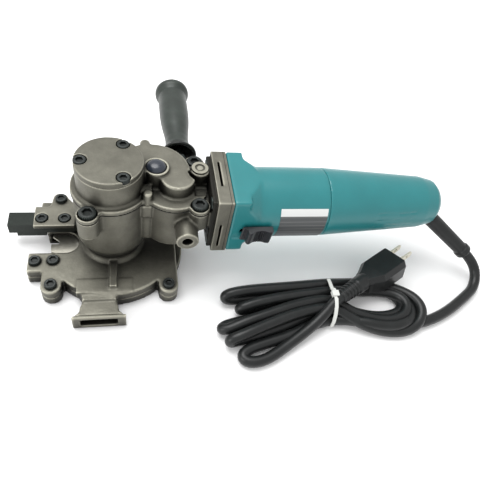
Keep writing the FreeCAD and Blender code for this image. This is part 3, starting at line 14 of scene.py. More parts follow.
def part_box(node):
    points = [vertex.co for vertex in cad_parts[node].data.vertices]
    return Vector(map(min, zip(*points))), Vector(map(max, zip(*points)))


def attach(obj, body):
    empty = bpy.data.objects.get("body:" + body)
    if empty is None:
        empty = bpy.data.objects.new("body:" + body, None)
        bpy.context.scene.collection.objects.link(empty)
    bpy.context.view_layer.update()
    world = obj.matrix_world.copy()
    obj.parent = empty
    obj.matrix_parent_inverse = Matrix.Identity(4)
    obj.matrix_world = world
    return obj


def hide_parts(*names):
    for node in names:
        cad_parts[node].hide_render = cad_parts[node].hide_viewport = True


bl_info = {
    "name": "Rebar saw",
    "version": (1, 0, 0),
    "blender": (4, 2, 0),
    "location": "3D View > Sidebar > Rebar saw",
    "description": "Builds a corded flush-cut rebar saw round its packed model",
    "category": "Object",
}

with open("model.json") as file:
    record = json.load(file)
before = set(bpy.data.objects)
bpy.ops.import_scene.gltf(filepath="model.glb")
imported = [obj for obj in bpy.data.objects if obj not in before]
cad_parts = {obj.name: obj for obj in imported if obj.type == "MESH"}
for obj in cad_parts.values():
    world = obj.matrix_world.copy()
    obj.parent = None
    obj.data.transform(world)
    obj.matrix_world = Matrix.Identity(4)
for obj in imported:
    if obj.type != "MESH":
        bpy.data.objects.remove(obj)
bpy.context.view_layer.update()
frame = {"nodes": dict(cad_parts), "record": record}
NODES = frame["nodes"]
MM = 0.001

# ---------------------------------------------------------------- settings


def colour_setting(name, description, default):
    return bpy.props.FloatVectorProperty(name=name, description=description, subtype="COLOR",
                                         size=4, min=0, max=1, default=default)


class RebarSawFinish(bpy.types.PropertyGroup):
    """Colours and grain of the saw's finishes."""
    casting: colour_setting("Casting", "Bare tumbled alloy of the gear head", (0.164, 0.159, 0.131, 1))
    shell: colour_setting("Motor shell", "Moulded plastic of the motor body", (0.013, 0.172, 0.183, 1))
    grip: colour_setting("Grip", "Rubber of the side handle", (0.027, 0.034, 0.029, 1))
    rubber: colour_setting("Cord", "Sheath of the cord, its guard and its plug", (0.0075, 0.0085, 0.0085, 1))
    oxide: colour_setting("Black oxide", "Blackened screws", (0.012, 0.015, 0.014, 1))
    guide: colour_setting("Guide bar", "Blued steel of the guide bar", (0.026, 0.030, 0.027, 1))
    blade: colour_setting("Blade", "Ground steel of the disc blade", (0.30, 0.29, 0.25, 1))
    dome: colour_setting("Lock button", "Glossy dome of the spindle lock", (0.016, 0.022, 0.034, 1))
    grain: bpy.props.FloatProperty(name="Casting grain", description="Size of the grains in the casting's skin",
                                   default=0.0011, min=0.0002, unit="LENGTH")


class RebarSawShape(bpy.types.PropertyGroup):
    """Sizes of the pieces that are softened or drawn here."""
    casting_voxel: bpy.props.FloatProperty(name="Casting detail", default=0.00095, min=0.0004, unit="LENGTH",
                                           description="Smallest detail kept in a casting")
    shell_voxel: bpy.props.FloatProperty(name="Shell detail", default=0.0010, min=0.0004, unit="LENGTH",
                                         description="Smallest detail kept in the motor's plastic")
    cord_diameter: bpy.props.FloatProperty(name="Cord diameter", default=0.010, min=0.004, unit="LENGTH",
                                           description="Outside diameter of the cord's sheath")
    knurl_count: bpy.props.IntProperty(name="Knurls", default=26, min=8,
                                       description="Ridges round the head of each socket screw")


class RebarSawStage(bpy.types.PropertyGroup):
    """Floor, lights and lens."""
    floor: colour_setting("Floor", "Plain floor", (0.97, 0.97, 0.97, 1))
    sky: bpy.props.FloatProperty(name="Sky", description="Strength of the even light all round",
                                 default=0.89, min=0)
    key: bpy.props.FloatProperty(name="Key light", description="Power of the large soft light overhead",
                                 default=11.0, min=0, unit="POWER")
    focal_length: bpy.props.FloatProperty(name="Focal length", description="Lens of the camera",
                                          default=36.19, min=1, unit="CAMERA")


def settings(context):
    scene = context.scene
    return scene.rebar_saw_finish, scene.rebar_saw_shape, scene.rebar_saw_stage


# ---------------------------------------------------------------- finishes


class Finish:
    """A node material built up from one Principled shader, on Object coordinates."""

    def __init__(self, name, colour, metallic=0.0, roughness=0.5, **sockets):
        self.material = bpy.data.materials.new(name)
        self.material.use_nodes = True
        self.tree = self.material.node_tree
        self.shader = self.tree.nodes["Principled BSDF"]
        self.place = self.node("ShaderNodeTexCoord").outputs["Object"]
        self.set("Base Color", tuple(colour))
        self.set("Metallic", metallic)
        self.set("Roughness", roughness)
        for socket, value in sockets.items():
            self.set(socket.replace("_", " "), value)

    def set(self, socket, value):
        target = self.shader.inputs[socket]
        if isinstance(value, bpy.types.NodeSocket):
            self.tree.links.new(value, target)
        else:
            target.default_value = value

    def node(self, kind, links=None, **settings_):
        made = self.tree.nodes.new(kind)
        for name, value in settings_.items():
            setattr(made, name, value)
        for name, value in (links or {}).items():
            if isinstance(value, bpy.types.NodeSocket):
                self.tree.links.new(value, made.inputs[name])
            else:
                made.inputs[name].default_value = value
        return made

    def noise(self, grain, detail=3.0, stretch=(1, 1, 1)):
        """Cloudy noise with grains of that size in metres."""
        moved = self.node("ShaderNodeMapping", {"Vector": self.place, "Scale": stretch}).outputs["Vector"]
        return self.node("ShaderNodeTexNoise", {"Vector": moved, "Scale": 1 / grain, "Detail": detail,
                                                "Roughness": 0.6}).outputs["Fac"]

    def ramp(self, value, low, high, start=0.0, end=1.0):
        """The value's stretch from low to high spread over start to end."""
        return self.node("ShaderNodeMapRange", {"Value": value, "From Min": low, "From Max": high,
                                                "To Min": start, "To Max": end}).outputs["Result"]

    def shade(self, factor, first, second):
        made = self.node("ShaderNodeMix", data_type="RGBA")
        self.tree.links.new(factor, made.inputs["Factor"])
        for socket, value in (("A", first), ("B", second)):
            target = [s for s in made.inputs if s.name == socket and s.type == "RGBA"][0]
            if isinstance(value, bpy.types.NodeSocket):
                self.tree.links.new(value, target)
            else:
                target.default_value = value
        return [s for s in made.outputs if s.type == "RGBA"][0]

    def bump(self, height, distance, strength=1.0, under=None):
        links = {"Height": height, "Distance": distance, "Strength": strength}
        if under is not None:
            links["Normal"] = under
        made = self.node("ShaderNodeBump", links).outputs["Normal"]
        self.set("Normal", made)
        return made

    def hollows(self, reach, low, high):
        """Nought deep inside a hollow or below an overhang, one out in the open; the mask for painted shade."""
        open_sky = self.node("ShaderNodeAmbientOcclusion", {"Distance": reach}, samples=8).outputs["AO"]
        return self.ramp(open_sky, low, high)

    def edges(self, low=0.515, high=0.56):
        """One along sharp outer edges, nought elsewhere: the mask for wear and painted highlight on rims."""
        edge_wear_and_highlight = self.node("ShaderNodeNewGeometry").outputs["Pointiness"]
        return self.ramp(edge_wear_and_highlight, low, high)


def times(colour, factor):
    return tuple(min(1.0, c * factor) for c in colour[:3]) + (1.0,)


def make_casting(finish, name, brightness=1.0, grain=1.0, neck=False):
    colour = times(finish.casting, brightness)
    made = Finish(name, colour, 0.82, 0.47)
    cloud = made.noise(0.018, 4)
    skin = made.noise(finish.grain * grain, 4)
    # Edges lightened to 2.8 times the colour: partly wear, partly painted highlight on the rims.
    edge_wear_and_highlight = made.edges()
    mottled = made.shade(made.ramp(cloud, 0.35, 0.7), times(colour, 0.80), times(colour, 1.12))
    bright = made.shade(edge_wear_and_highlight, mottled, times(colour, 2.8))
    # Painted shade: darkened to 0.08 of the colour in hollows and below overhangs.
    hollow = made.hollows(0.034, 0.34, 0.95)
    tone_with_painted_shade = made.shade(hollow, times(colour, 0.08), bright)
    if neck:
        # Band across the neck between the head and the motor plate darkened to 0.12: painted shade, partly the
        # dark neck fins.
        spot = made.node("ShaderNodeSeparateXYZ", {"Vector": made.place}).outputs["X"]
        neck_shade_mask = made.node("ShaderNodeMath", {0: made.ramp(spot, 0.0790, 0.0800),
                                              1: made.ramp(spot, 0.0839, 0.0836)}, operation="MULTIPLY")
        tone_with_painted_shade = made.shade(neck_shade_mask.outputs[0], tone_with_painted_shade, times(colour, 0.12))
        seam = made.node("ShaderNodeMath", {0: spot, 1: 0.0947}, operation="SUBTRACT").outputs[0]
        gap = made.node("ShaderNodeMath", {0: seam}, operation="ABSOLUTE").outputs[0]
        tone_with_painted_shade = made.shade(made.ramp(gap, 0.00012, 0.00028), times(colour, 0.08), tone_with_painted_shade)
    made.set("Base Color", tone_with_painted_shade)
    made.set("Roughness", made.ramp(skin, 0.3, 0.75, 0.40, 0.60))
    coarse = made.bump(made.noise(finish.grain * 4.5, 2), 0.00022, 0.55)
    made.bump(skin, 0.00012, 0.8, coarse)
    return made.material


def make_machined(name, colour, roughness=0.33, stretch=(1, 1, 12), grain=0.004):
    made = Finish(name, colour, 0.92, roughness)
    lines = made.noise(grain, 5, stretch)
    made.set("Roughness", made.ramp(lines, 0.3, 0.7, roughness * 0.8, roughness * 1.25))
    made.set("Base Color", made.shade(made.ramp(lines, 0.35, 0.7), times(colour, 0.85), times(colour, 1.15)))
    made.bump(lines, 0.00004, 0.5)
    return made.material


def make_plastic(name, colour, roughness=0.36, grain=0.0007, depth=0.00003, coat=0.0):
    made = Finish(name, colour, 0.0, roughness, Coat_Weight=coat, Coat_Roughness=0.2)
    cloud = made.noise(0.03, 3)
    made.set("Base Color", made.shade(made.ramp(cloud, 0.3, 0.75), times(colour, 0.93), times(colour, 1.05)))
    skin = made.noise(grain, 2)
    made.set("Roughness", made.ramp(skin, 0.3, 0.7, roughness * 0.9, roughness * 1.15))
    made.bump(skin, depth, 0.7)
    return made.material


def make_rubber(name, colour, roughness=0.42, grain=0.0006, depth=0.00005):
    made = Finish(name, colour, 0.0, roughness, Specular_IOR_Level=0.38)
    skin = made.noise(grain, 3)
    dust = made.noise(0.012, 4)
    made.set("Base Color", made.shade(made.ramp(dust, 0.45, 0.8), colour, times(colour, 1.7)))
    made.set("Roughness", made.ramp(skin, 0.3, 0.7, roughness * 0.9, roughness * 1.2))
    made.bump(skin, depth, 0.6)
    return made.material


def make_grip(name, colour):
    """Grey green rubber, darkened on the flare next to the gear head as painted shade."""
    made = Finish(name, colour, 0.0, 0.40, Specular_IOR_Level=0.38)
    skin = made.noise(0.0006, 3)
    away = made.node("ShaderNodeSeparateXYZ", {"Vector": made.place}).outputs["Y"]
    dust = made.shade(made.ramp(made.noise(0.014, 4), 0.45, 0.8), times(colour, 0.9), times(colour, 1.4))
    # Painted shade: the flare nearest the gear head darkened to 0.22 of the grip's colour.
    made.set("Base Color", made.shade(made.ramp(away, 0.064, 0.069), times(colour, 0.22), dust))
    made.set("Roughness", made.ramp(skin, 0.3, 0.7, 0.34, 0.47))
    made.bump(skin, 0.00005, 0.6)
    return made.material


def make_oxide(name, colour, roughness=0.38):
    made = Finish(name, colour, 0.4, roughness)
    skin = made.noise(0.0008, 3)
    # Rims lightened to 4 times the colour: partly wear, partly painted highlight.
    made.set("Base Color", made.shade(made.edges(0.52, 0.6), colour, times(colour, 4.0)))
    made.set("Roughness", made.ramp(skin, 0.3, 0.7, roughness * 0.85, roughness * 1.3))
    made.bump(skin, 0.00003, 0.5)
    return made.material


def make_plated(name, colour):
    made = Finish(name, colour, 0.45, 0.42)
    dull = made.noise(0.003, 3)
    made.set("Base Color", made.shade(made.ramp(dull, 0.35, 0.7), times(colour, 0.86), times(colour, 1.05)))
    return made.material


def make_label(name):
    """Blank rating plate: pale band along its top, dark grey below, thin pale lines between."""
    made = Finish(name, (0.1, 0.1, 0.1, 1), 0.0, 0.38)
    height = made.node("ShaderNodeSeparateXYZ", {"Vector": made.place}).outputs["Z"]
    band = made.ramp(height, 0.0815, 0.0817)
    rows = made.node("ShaderNodeMath", {0: height, 1: 0.0042}, operation="MODULO").outputs[0]
    line = made.node("ShaderNodeMath", {0: made.ramp(rows, 0.0006, 0.0007), 1: made.ramp(rows, 0.0011, 0.0010)},
                     operation="MULTIPLY").outputs[0]
    dark = made.shade(line, (0.060, 0.064, 0.066, 1), (0.17, 0.175, 0.17, 1))
    made.set("Base Color", made.shade(band, dark, (0.66, 0.67, 0.66, 1)))
    return made.material


def make_finishes(context):
    finish = settings(context)[0]
    return {
        "casting": make_casting(finish, "tumbled casting", neck=True),
        # Painted shade: the cap is a darker copy of the casting so that its lit top face looks no brighter than
        # the rest.
        "cap_metal": make_casting(finish, "machined cap", 0.80, 0.7),
        "teal": make_plastic("teal motor shell", finish.shell, 0.34, 0.0009, 0.00003, 0.15),
        "grip_rubber": make_grip("grip rubber", finish.grip),
        "cord_black": make_rubber("cord rubber", finish.rubber, 0.36, 0.0009, 0.00004),
        "seal_rubber": make_rubber("seal rubber", finish.rubber, 0.5),
        "black_plastic": make_plastic("black plastic", (0.012, 0.013, 0.016, 1), 0.38, 0.0006, 0.00003),
        "black_oxide": make_oxide("black oxide", finish.oxide),
        "guide_black": make_machined("blued guide steel", finish.guide, 0.36, (12, 1, 1)),
        "blade_steel": make_machined("ground blade steel", finish.blade, 0.34, (1, 8, 1)),
        "steel": make_machined("turned steel", (0.45, 0.45, 0.46, 1), 0.28),
        "gear_steel": make_machined("gear steel", (0.27, 0.27, 0.28, 1), 0.34),
        "button_blue": make_plastic("lock button", finish.dome, 0.30, 0.004, 0.00001, 0.25),
        "tie_white": make_plastic("tie nylon", (0.62, 0.63, 0.60, 1), 0.45),
        "nickel": make_plated("nickel plate", (0.80, 0.76, 0.63, 1)),
        "copper": make_machined("lacquered copper", (0.45, 0.16, 0.07, 1), 0.32, (20, 1, 1), 0.002),
        "carbon": make_plastic("pressed carbon", (0.02, 0.02, 0.022, 1), 0.6),
        "fibre": make_plastic("gasket fibre", (0.012, 0.012, 0.011, 1), 0.8),
        "lamination": make_machined("stacked laminations", (0.16, 0.16, 0.17, 1), 0.45, (30, 1, 1), 0.004),
        "brass": make_machined("brass", (0.55, 0.38, 0.14, 1), 0.3),
        "label": make_label("rating plate"),
    }


FINISHES = {}


def finish_of(slot):
    if not FINISHES:
        FINISHES.update(make_finishes(bpy.context))
    return FINISHES[slot]


# ---------------------------------------------------------------- making pieces


def body_of_node(node):
    return next(b for b, nodes in frame["record"]["behaviour"]["bodies"].items() if node in nodes)


def slot_of_node(node):
    return next(s["material_slot"] for s in frame["record"]["subparts"] if s["node"] == node)


def add_piece(name, mesh, like, smooth=math.radians(35)):
    """Put a finished mesh in the CAD node's place, on its body and in its finish."""
    slot = slot_of_node(like)
    mesh.name = name
    mesh.materials.clear()
    mesh.materials.append(finish_of(slot))
    mesh.shade_smooth()
    mesh.set_sharp_from_angle(angle=smooth)
    piece = bpy.data.objects.new(name, mesh)
    bpy.context.scene.collection.objects.link(piece)
    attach(piece, body_of_node(like))
    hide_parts(like)
    flat = piece.modifiers.new("flat faces", "WEIGHTED_NORMAL")
    flat.keep_sharp = True
    return piece


def mesh_of(bm):
    bmesh.ops.remove_doubles(bm, verts=bm.verts, dist=1e-7)
    bmesh.ops.recalc_face_normals(bm, faces=bm.faces)
    mesh = bpy.data.meshes.new("mesh")
    bm.to_mesh(mesh)
    bm.free()
    return mesh


def with_modifiers(mesh, *steps):
    """The mesh after modifiers, each given as (kind, {setting: value})."""
    holder = bpy.data.objects.new("holder", mesh)
    bpy.context.scene.collection.objects.link(holder)
    for kind, values in steps:
        modifier = holder.modifiers.new(kind, kind)
        for key, value in values.items():
            setattr(modifier, key, value)
    depsgraph = bpy.context.evaluated_depsgraph_get()
    result = bpy.data.meshes.new_from_object(holder.evaluated_get(depsgraph))
    bpy.data.objects.remove(holder)
    return result


def copy_of_node(node, flat=True):
    """The CAD node's solid as one joined mesh, its flat faces made whole."""
    bm = bmesh.new()
    bm.from_mesh(NODES[node].data)
    bmesh.ops.remove_doubles(bm, verts=bm.verts, dist=1e-6)
    if flat:
        bmesh.ops.dissolve_limit(bm, angle_limit=math.radians(1.0), verts=bm.verts, edges=bm.edges)
    mesh = bpy.data.meshes.new("copy")
    bm.to_mesh(mesh)
    bm.free()
    return mesh


def softened(node, voxel, rounds=3, most=150000):
    """The node's solid with its edges and inside corners rounded, as a mould leaves them."""
    mesh = with_modifiers(copy_of_node(node, False), ("REMESH", {"mode": "VOXEL", "voxel_size": voxel}),
                          ("SMOOTH", {"factor": 0.5, "iterations": rounds}))
    mesh.calc_loop_triangles()
    count = len(mesh.loop_triangles)
    if count > most:
        mesh = with_modifiers(mesh, ("DECIMATE", {"ratio": most / count}))
    return mesh


def eased(node, width, segments=2):
    """The node's solid with its sharp edges broken."""
    return with_modifiers(copy_of_node(node), ("BEVEL", {
        "width": width, "segments": segments, "limit_method": "ANGLE", "angle_limit": math.radians(32),
        "profile": 0.5, "use_clamp_overlap": True}))


def lathe(profile, steps=64, matrix=None):
    """A closed solid turned about Z from (radius, height) pairs in millimetres, from axis to axis."""
    bm = bmesh.new()
    spots = [bm.verts.new((r * MM, 0, h * MM)) for r, h in profile]
    for a, b in zip(spots, spots[1:]):
        bm.edges.new((a, b))
    bmesh.ops.spin(bm, geom=bm.verts[:] + bm.edges[:], cent=(0, 0, 0), axis=(0, 0, 1),
                   angle=math.tau, steps=steps, use_merge=True)
    bmesh.ops.remove_doubles(bm, verts=bm.verts, dist=1e-6)
    bmesh.ops.recalc_face_normals(bm, faces=bm.faces)
    if matrix:
        bmesh.ops.transform(bm, matrix=matrix, verts=bm.verts)
    return bm


def rounded(profile, radius=0.6, steps=3):
    """The profile with each corner replaced by a small arc of about that radius."""
    out = [profile[0]]
    for before, corner, after in zip(profile, profile[1:], profile[2:]):
        a, b, c = Vector(before), Vector(corner), Vector(after)
        reach = min(radius, (a - b).length * 0.45, (c - b).length * 0.45)
        start, end = b + (a - b).normalized() * reach, b + (c - b).normalized() * reach
        for i in range(steps + 1):
            k = i / steps
            out.append(tuple(start * (1 - k) ** 2 + b * 2 * k * (1 - k) + end * k * k))
    out.append(profile[-1])
    return out


def islands(node):
    """The boxes of a node's separate solids, as (lowest corner, highest corner)."""
    bm = bmesh.new()
    bm.from_mesh(NODES[node].data)
    bmesh.ops.remove_doubles(bm, verts=bm.verts, dist=1e-6)
    left, boxes = set(bm.verts), []
    while left:
        stack = [left.pop()]
        group = []
        while stack:
            vert = stack.pop()
            group.append(vert.co.copy())
            for edge in vert.link_edges:
                other = edge.other_vert(vert)
                if other in left:
                    left.remove(other)
                    stack.append(other)
        boxes.append((Vector(map(min, zip(*group))), Vector(map(max, zip(*group)))))
    bm.free()
    return sorted(boxes, key=lambda pair: tuple(pair[0]))


def join_into(target, source):
    """Add one bmesh's geometry to another, and free it."""
    spare = bpy.data.meshes.new("spare")
    source.to_mesh(spare)
    source.free()
    target.from_mesh(spare)
    bpy.data.meshes.remove(spare)


def stacked(rings):
    """A closed solid skinned over rings of equal count, each a list of points."""
    bm = bmesh.new()
    rows = [[bm.verts.new(point) for point in ring] for ring in rings]
    count = len(rows[0])
    for low, high in zip(rows, rows[1:]):
        for i in range(count):
            following = (i + 1) % count
            bm.faces.new((low[i], low[following], high[following], high[i]))
    bm.faces.new(rows[0][::-1])
    bm.faces.new(rows[-1])
    bmesh.ops.recalc_face_normals(bm, faces=bm.faces)
    return bm


def socket_screw(centre, low, top, radius, head, knurls):
    """Knurled cap screw with a bevelled rim and a hexagon socket, standing along Z."""
    count = knurls * 3

    def ring(reach, height, sides=0, tooth=0.0):
        points = []
        for i in range(count):
            turn = math.tau * i / count
            r = reach - (tooth if i % 3 == 0 else 0)
            if sides:
                r *= math.cos(math.pi / sides) / math.cos(turn % (math.tau / sides) - math.pi / sides)
            points.append((centre[0] + r * math.cos(turn), centre[1] + r * math.sin(turn), height))
        return points

    neck = top - head
    shank = radius * 0.6
    return stacked([
        ring(shank, min(low, neck - 0.2 * MM)), ring(shank, neck), ring(radius * 0.94, neck),
        ring(radius, neck + 0.3 * MM, 0, radius * 0.06), ring(radius, top - 0.9 * MM, 0, radius * 0.06),
        ring(radius * 0.97, top - 0.5 * MM), ring(radius * 0.88, top - 0.08 * MM),
        ring(radius * 0.82, top), ring(radius * 0.66, top), ring(radius * 0.62, top - 0.12 * MM, 6),
        ring(radius * 0.58, top - 0.35 * MM, 6), ring(radius * 0.56, top - head * 0.6, 6),
        ring(radius * 0.2, top - head * 0.66)])


# ---------------------------------------------------------------- stage and cord


class REBARSAW_OT_stage(bpy.types.Operator):
    """Floor, soft lights and the camera"""
    bl_idname = "rebar_saw.stage"
    bl_label = "Stage"

    def execute(self, context):
        stage = settings(context)[2]
        scene = context.scene
        scene.view_settings.view_transform = "Standard"
        camera_data = bpy.data.cameras.new("camera")
        camera_data.lens = stage.focal_length
        camera_data.sensor_width = 36
        camera_data.sensor_fit = "HORIZONTAL"
        camera_data.clip_start = 0.01
        camera = bpy.data.objects.new("camera", camera_data)
        right = Vector((0.97505, -0.14968, 0.16395))
        down = Vector((-0.01736, -0.78767, -0.61587))
        ahead = Vector((0.22132, 0.59765, -0.77061))
        turn = Matrix((right, -down, -ahead)).transposed().to_4x4()
        camera.matrix_world = Matrix.Translation((0.01517, -0.28376, 0.37929)) @ turn
        scene.collection.objects.link(camera)
        scene.camera = camera

        bm = bmesh.new()
        bmesh.ops.create_grid(bm, x_segments=2, y_segments=2, size=4)
        floor = bpy.data.objects.new("floor", mesh_of(bm))
        paint = Finish("floor", stage.floor, 0.0, 0.9)
        floor.data.materials.append(paint.material)
        floor.location.z = -0.0004
        scene.collection.objects.link(floor)

        world = bpy.data.worlds.new("soft sky")
        world.use_nodes = True
        sky = world.node_tree.nodes["Background"]
        sky.inputs["Color"].default_value = (1, 1, 1, 1)
        sky.inputs["Strength"].default_value = stage.sky
        scene.world = world
        for name, spot, aim, size, power in (
                ("key", (-0.15, 0.25, 1.1), (0.1, 0, 0.05), 0.9, stage.key),
                ("fill", (-0.9, -0.5, 0.5), (0.0, 0, 0.05), 0.5, stage.key * 0.35)):
            data = bpy.data.lights.new(name, "AREA")
            data.shape = "DISK"
            data.size = size
            data.energy = power
            lamp = bpy.data.objects.new(name, data)
            way = Vector(aim) - Vector(spot)
            lamp.matrix_world = Matrix.Translation(spot) @ way.to_track_quat("-Z", "Y").to_matrix().to_4x4()
            scene.collection.objects.link(lamp)
        return {"FINISHED"}


GUARD_START = Vector((298.0, -5.0, 59.5)) * MM
GUARD_WAY = Vector((52, -27, -33)).normalized()
GUARD_TIP = GUARD_START + GUARD_WAY * 66 * MM

LEAD = [(361, -60, 5.2), (340, -73.5, 5.2), (316, -87, 5.2), (291, -96, 5.2), (266, -99, 5.2),
        (240, -96, 5.2), (216, -88, 5.2)]
# Where the strands pass through the tie, from its far side to its near side, low then high.
ROWS = [-55.0, -63.2, -71.4, -79.6, -87.8]
LOW, HIGH = 5.2, 14.6
# Left ends: along the strand that goes out, round the fold, and back.
LEFT = {
    1: [(165, -57, 15.0), (140, -58, 15.2), (118, -59, 15.0), (102, -60.5, 13.6), (96.5, -62, 9.8),
        (101, -63, 6.2), (116, -62.5, 5.2), (138, -61, 5.2), (168, -58, 5.2)],
    2: [(165, -66, 15.0), (142, -69, 15.2), (125, -72, 14.8), (113, -74.5, 13.2), (108.5, -75, 9.4),
        (112, -74, 6.0), (124, -72, 5.2), (142, -69, 5.2), (168, -64, 5.2)],
    3: [(165, -75, 5.2), (136, -81, 5.2), (112, -84.5, 5.2), (96, -88, 5.4), (90, -92, 6.8),
        (96, -94.5, 9.6), (111, -90, 13.6), (134, -84, 15.2), (165, -75, 15.4)],
    4: [(168, -85, 5.2), (144, -93, 5.2), (120, -99.5, 5.2), (103, -103.5, 5.2), (96, -105.5, 7.8),
        (97, -105.5, 12.6), (108, -103, 15.6), (131, -94.5, 15.8), (160, -84.5, 15.4)],
    5: [(172, -93, 5.2), (152, -102, 5.2), (130, -107, 5.2), (112, -111.5, 5.2), (104.5, -118, 5.2),
        (111, -124.5, 5.2), (127, -122.5, 5.4), (149, -110, 6.6), (170, -98, 10.5), (184, -88.5, 16.5)],
}
# Right ends, the widest first.
RIGHT = {
    1: [(212, -92, 11.0), (232, -101, 6.2), (252, -105.5, 5.2), (269, -104, 5.4), (281, -97, 8.0),
        (286.5, -86, 11.0), (284, -74, 11.0), (275, -63, 8.0), (260, -54, 5.4), (240, -50, 5.2),
        (218, -51.5, 8.0)],
    2: [(214, -56.5, 5.2), (232, -57.5, 5.2), (248, -58.5, 5.2), (262, -62.5, 5.2), (270, -70.5, 5.2),
        (270, -79.5, 5.2), (262, -86, 5.2), (246, -88.5, 5.2), (229, -86, 5.2), (212, -79, 5.2)],
    3: [(212, -83, 10.6), (228, -89.5, 8.2), (246, -94.5, 8.4), (262, -92.5, 9.6), (271.5, -84.5, 10.8),
        (272, -74, 10.6), (264, -65.5, 8.4), (248, -61, 6.2), (232, -60.5, 6.4), (216, -61.5, 10.0)],
    4: [(214, -60, 5.2), (238, -54, 5.2), (262, -58.5, 5.2), (276, -69, 5.4), (279, -82, 6.2),
        (272, -94.5, 8.6), (257, -101.5, 10.8), (240, -101, 11.0), (222, -95, 11.0)],
}
PLUG_AT = Vector((199.0, -77.0, 24.0)) * MM
PLUG_TURN = Matrix.Translation(PLUG_AT) @ Matrix.Rotation(math.radians(30), 4, "Z")
PLUG_ROLL = Matrix.Rotation(math.radians(-14), 4, "X")
# Blade of the plug, in its own millimetres: tip, middle of its height, its hole's place and size.
BLADE_TIP, BLADE_MIDDLE, HOLE_AT, HOLE_RADIUS, BLADE_HALF = 99, 3.2, 91, 1.6, 0.75
BLADE_SPACING = 12.7
HOLE_STEPS = 24
MOTOR_AXIS = 69.4 * MM


def cord_route():
    """Guard, lead, then five folds of the hank out to the left and four to the right, and the plug."""
    def through(row, height):
        return (194.5 + row * 0.4, ROWS[row - 1], height)
    points = [tuple(GUARD_TIP / MM), tuple((GUARD_TIP + GUARD_WAY * 20 * MM) / MM)] + LEAD
    points += [through(4, LOW)] + LEFT[4] + [through(4, HIGH)] + RIGHT[1]
    points += [through(1, HIGH)] + LEFT[1] + [through(1, LOW)] + RIGHT[2]
    points += [through(3, LOW)] + LEFT[3] + [through(3, HIGH)] + RIGHT[3]
    points += [through(2, HIGH)] + LEFT[2] + [through(2, LOW)] + RIGHT[4]
    points += [through(5, LOW)] + LEFT[5]
    points += [tuple((PLUG_TURN @ Vector((x * MM, 0, 0))) / MM) for x in (-5, 3)]
    return [Vector(p) * MM for p in points]


class REBARSAW_OT_cord(bpy.types.Operator):
    """Cord from its guard through the tied hank to the plug"""
    bl_idname = "rebar_saw.cord"
    bl_label = "Cord"

    def execute(self, context):
        shape = settings(context)[1]
        data = bpy.data.curves.new("power_cord", "CURVE")
        data.dimensions = "3D"
        points = cord_route()
        line = data.splines.new("NURBS")
        line.points.add(len(points) - 1)
        for spot, point in zip(line.points, points):
            spot.co = (*point, 1)
        line.order_u = 3
        line.use_endpoint_u = True
        line.resolution_u = 6
        data.bevel_depth = shape.cord_diameter / 2
        data.bevel_resolution = 6
        data.use_fill_caps = True
        data.materials.append(finish_of("cord_black"))
        cord = bpy.data.objects.new("power_cord_sheath", data)
        context.scene.collection.objects.link(cord)
        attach(cord, "tool")
        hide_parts("power_cord", "cord_hank")
        context.scene["rebar_saw_cord"] = cord.name
        return {"FINISHED"}


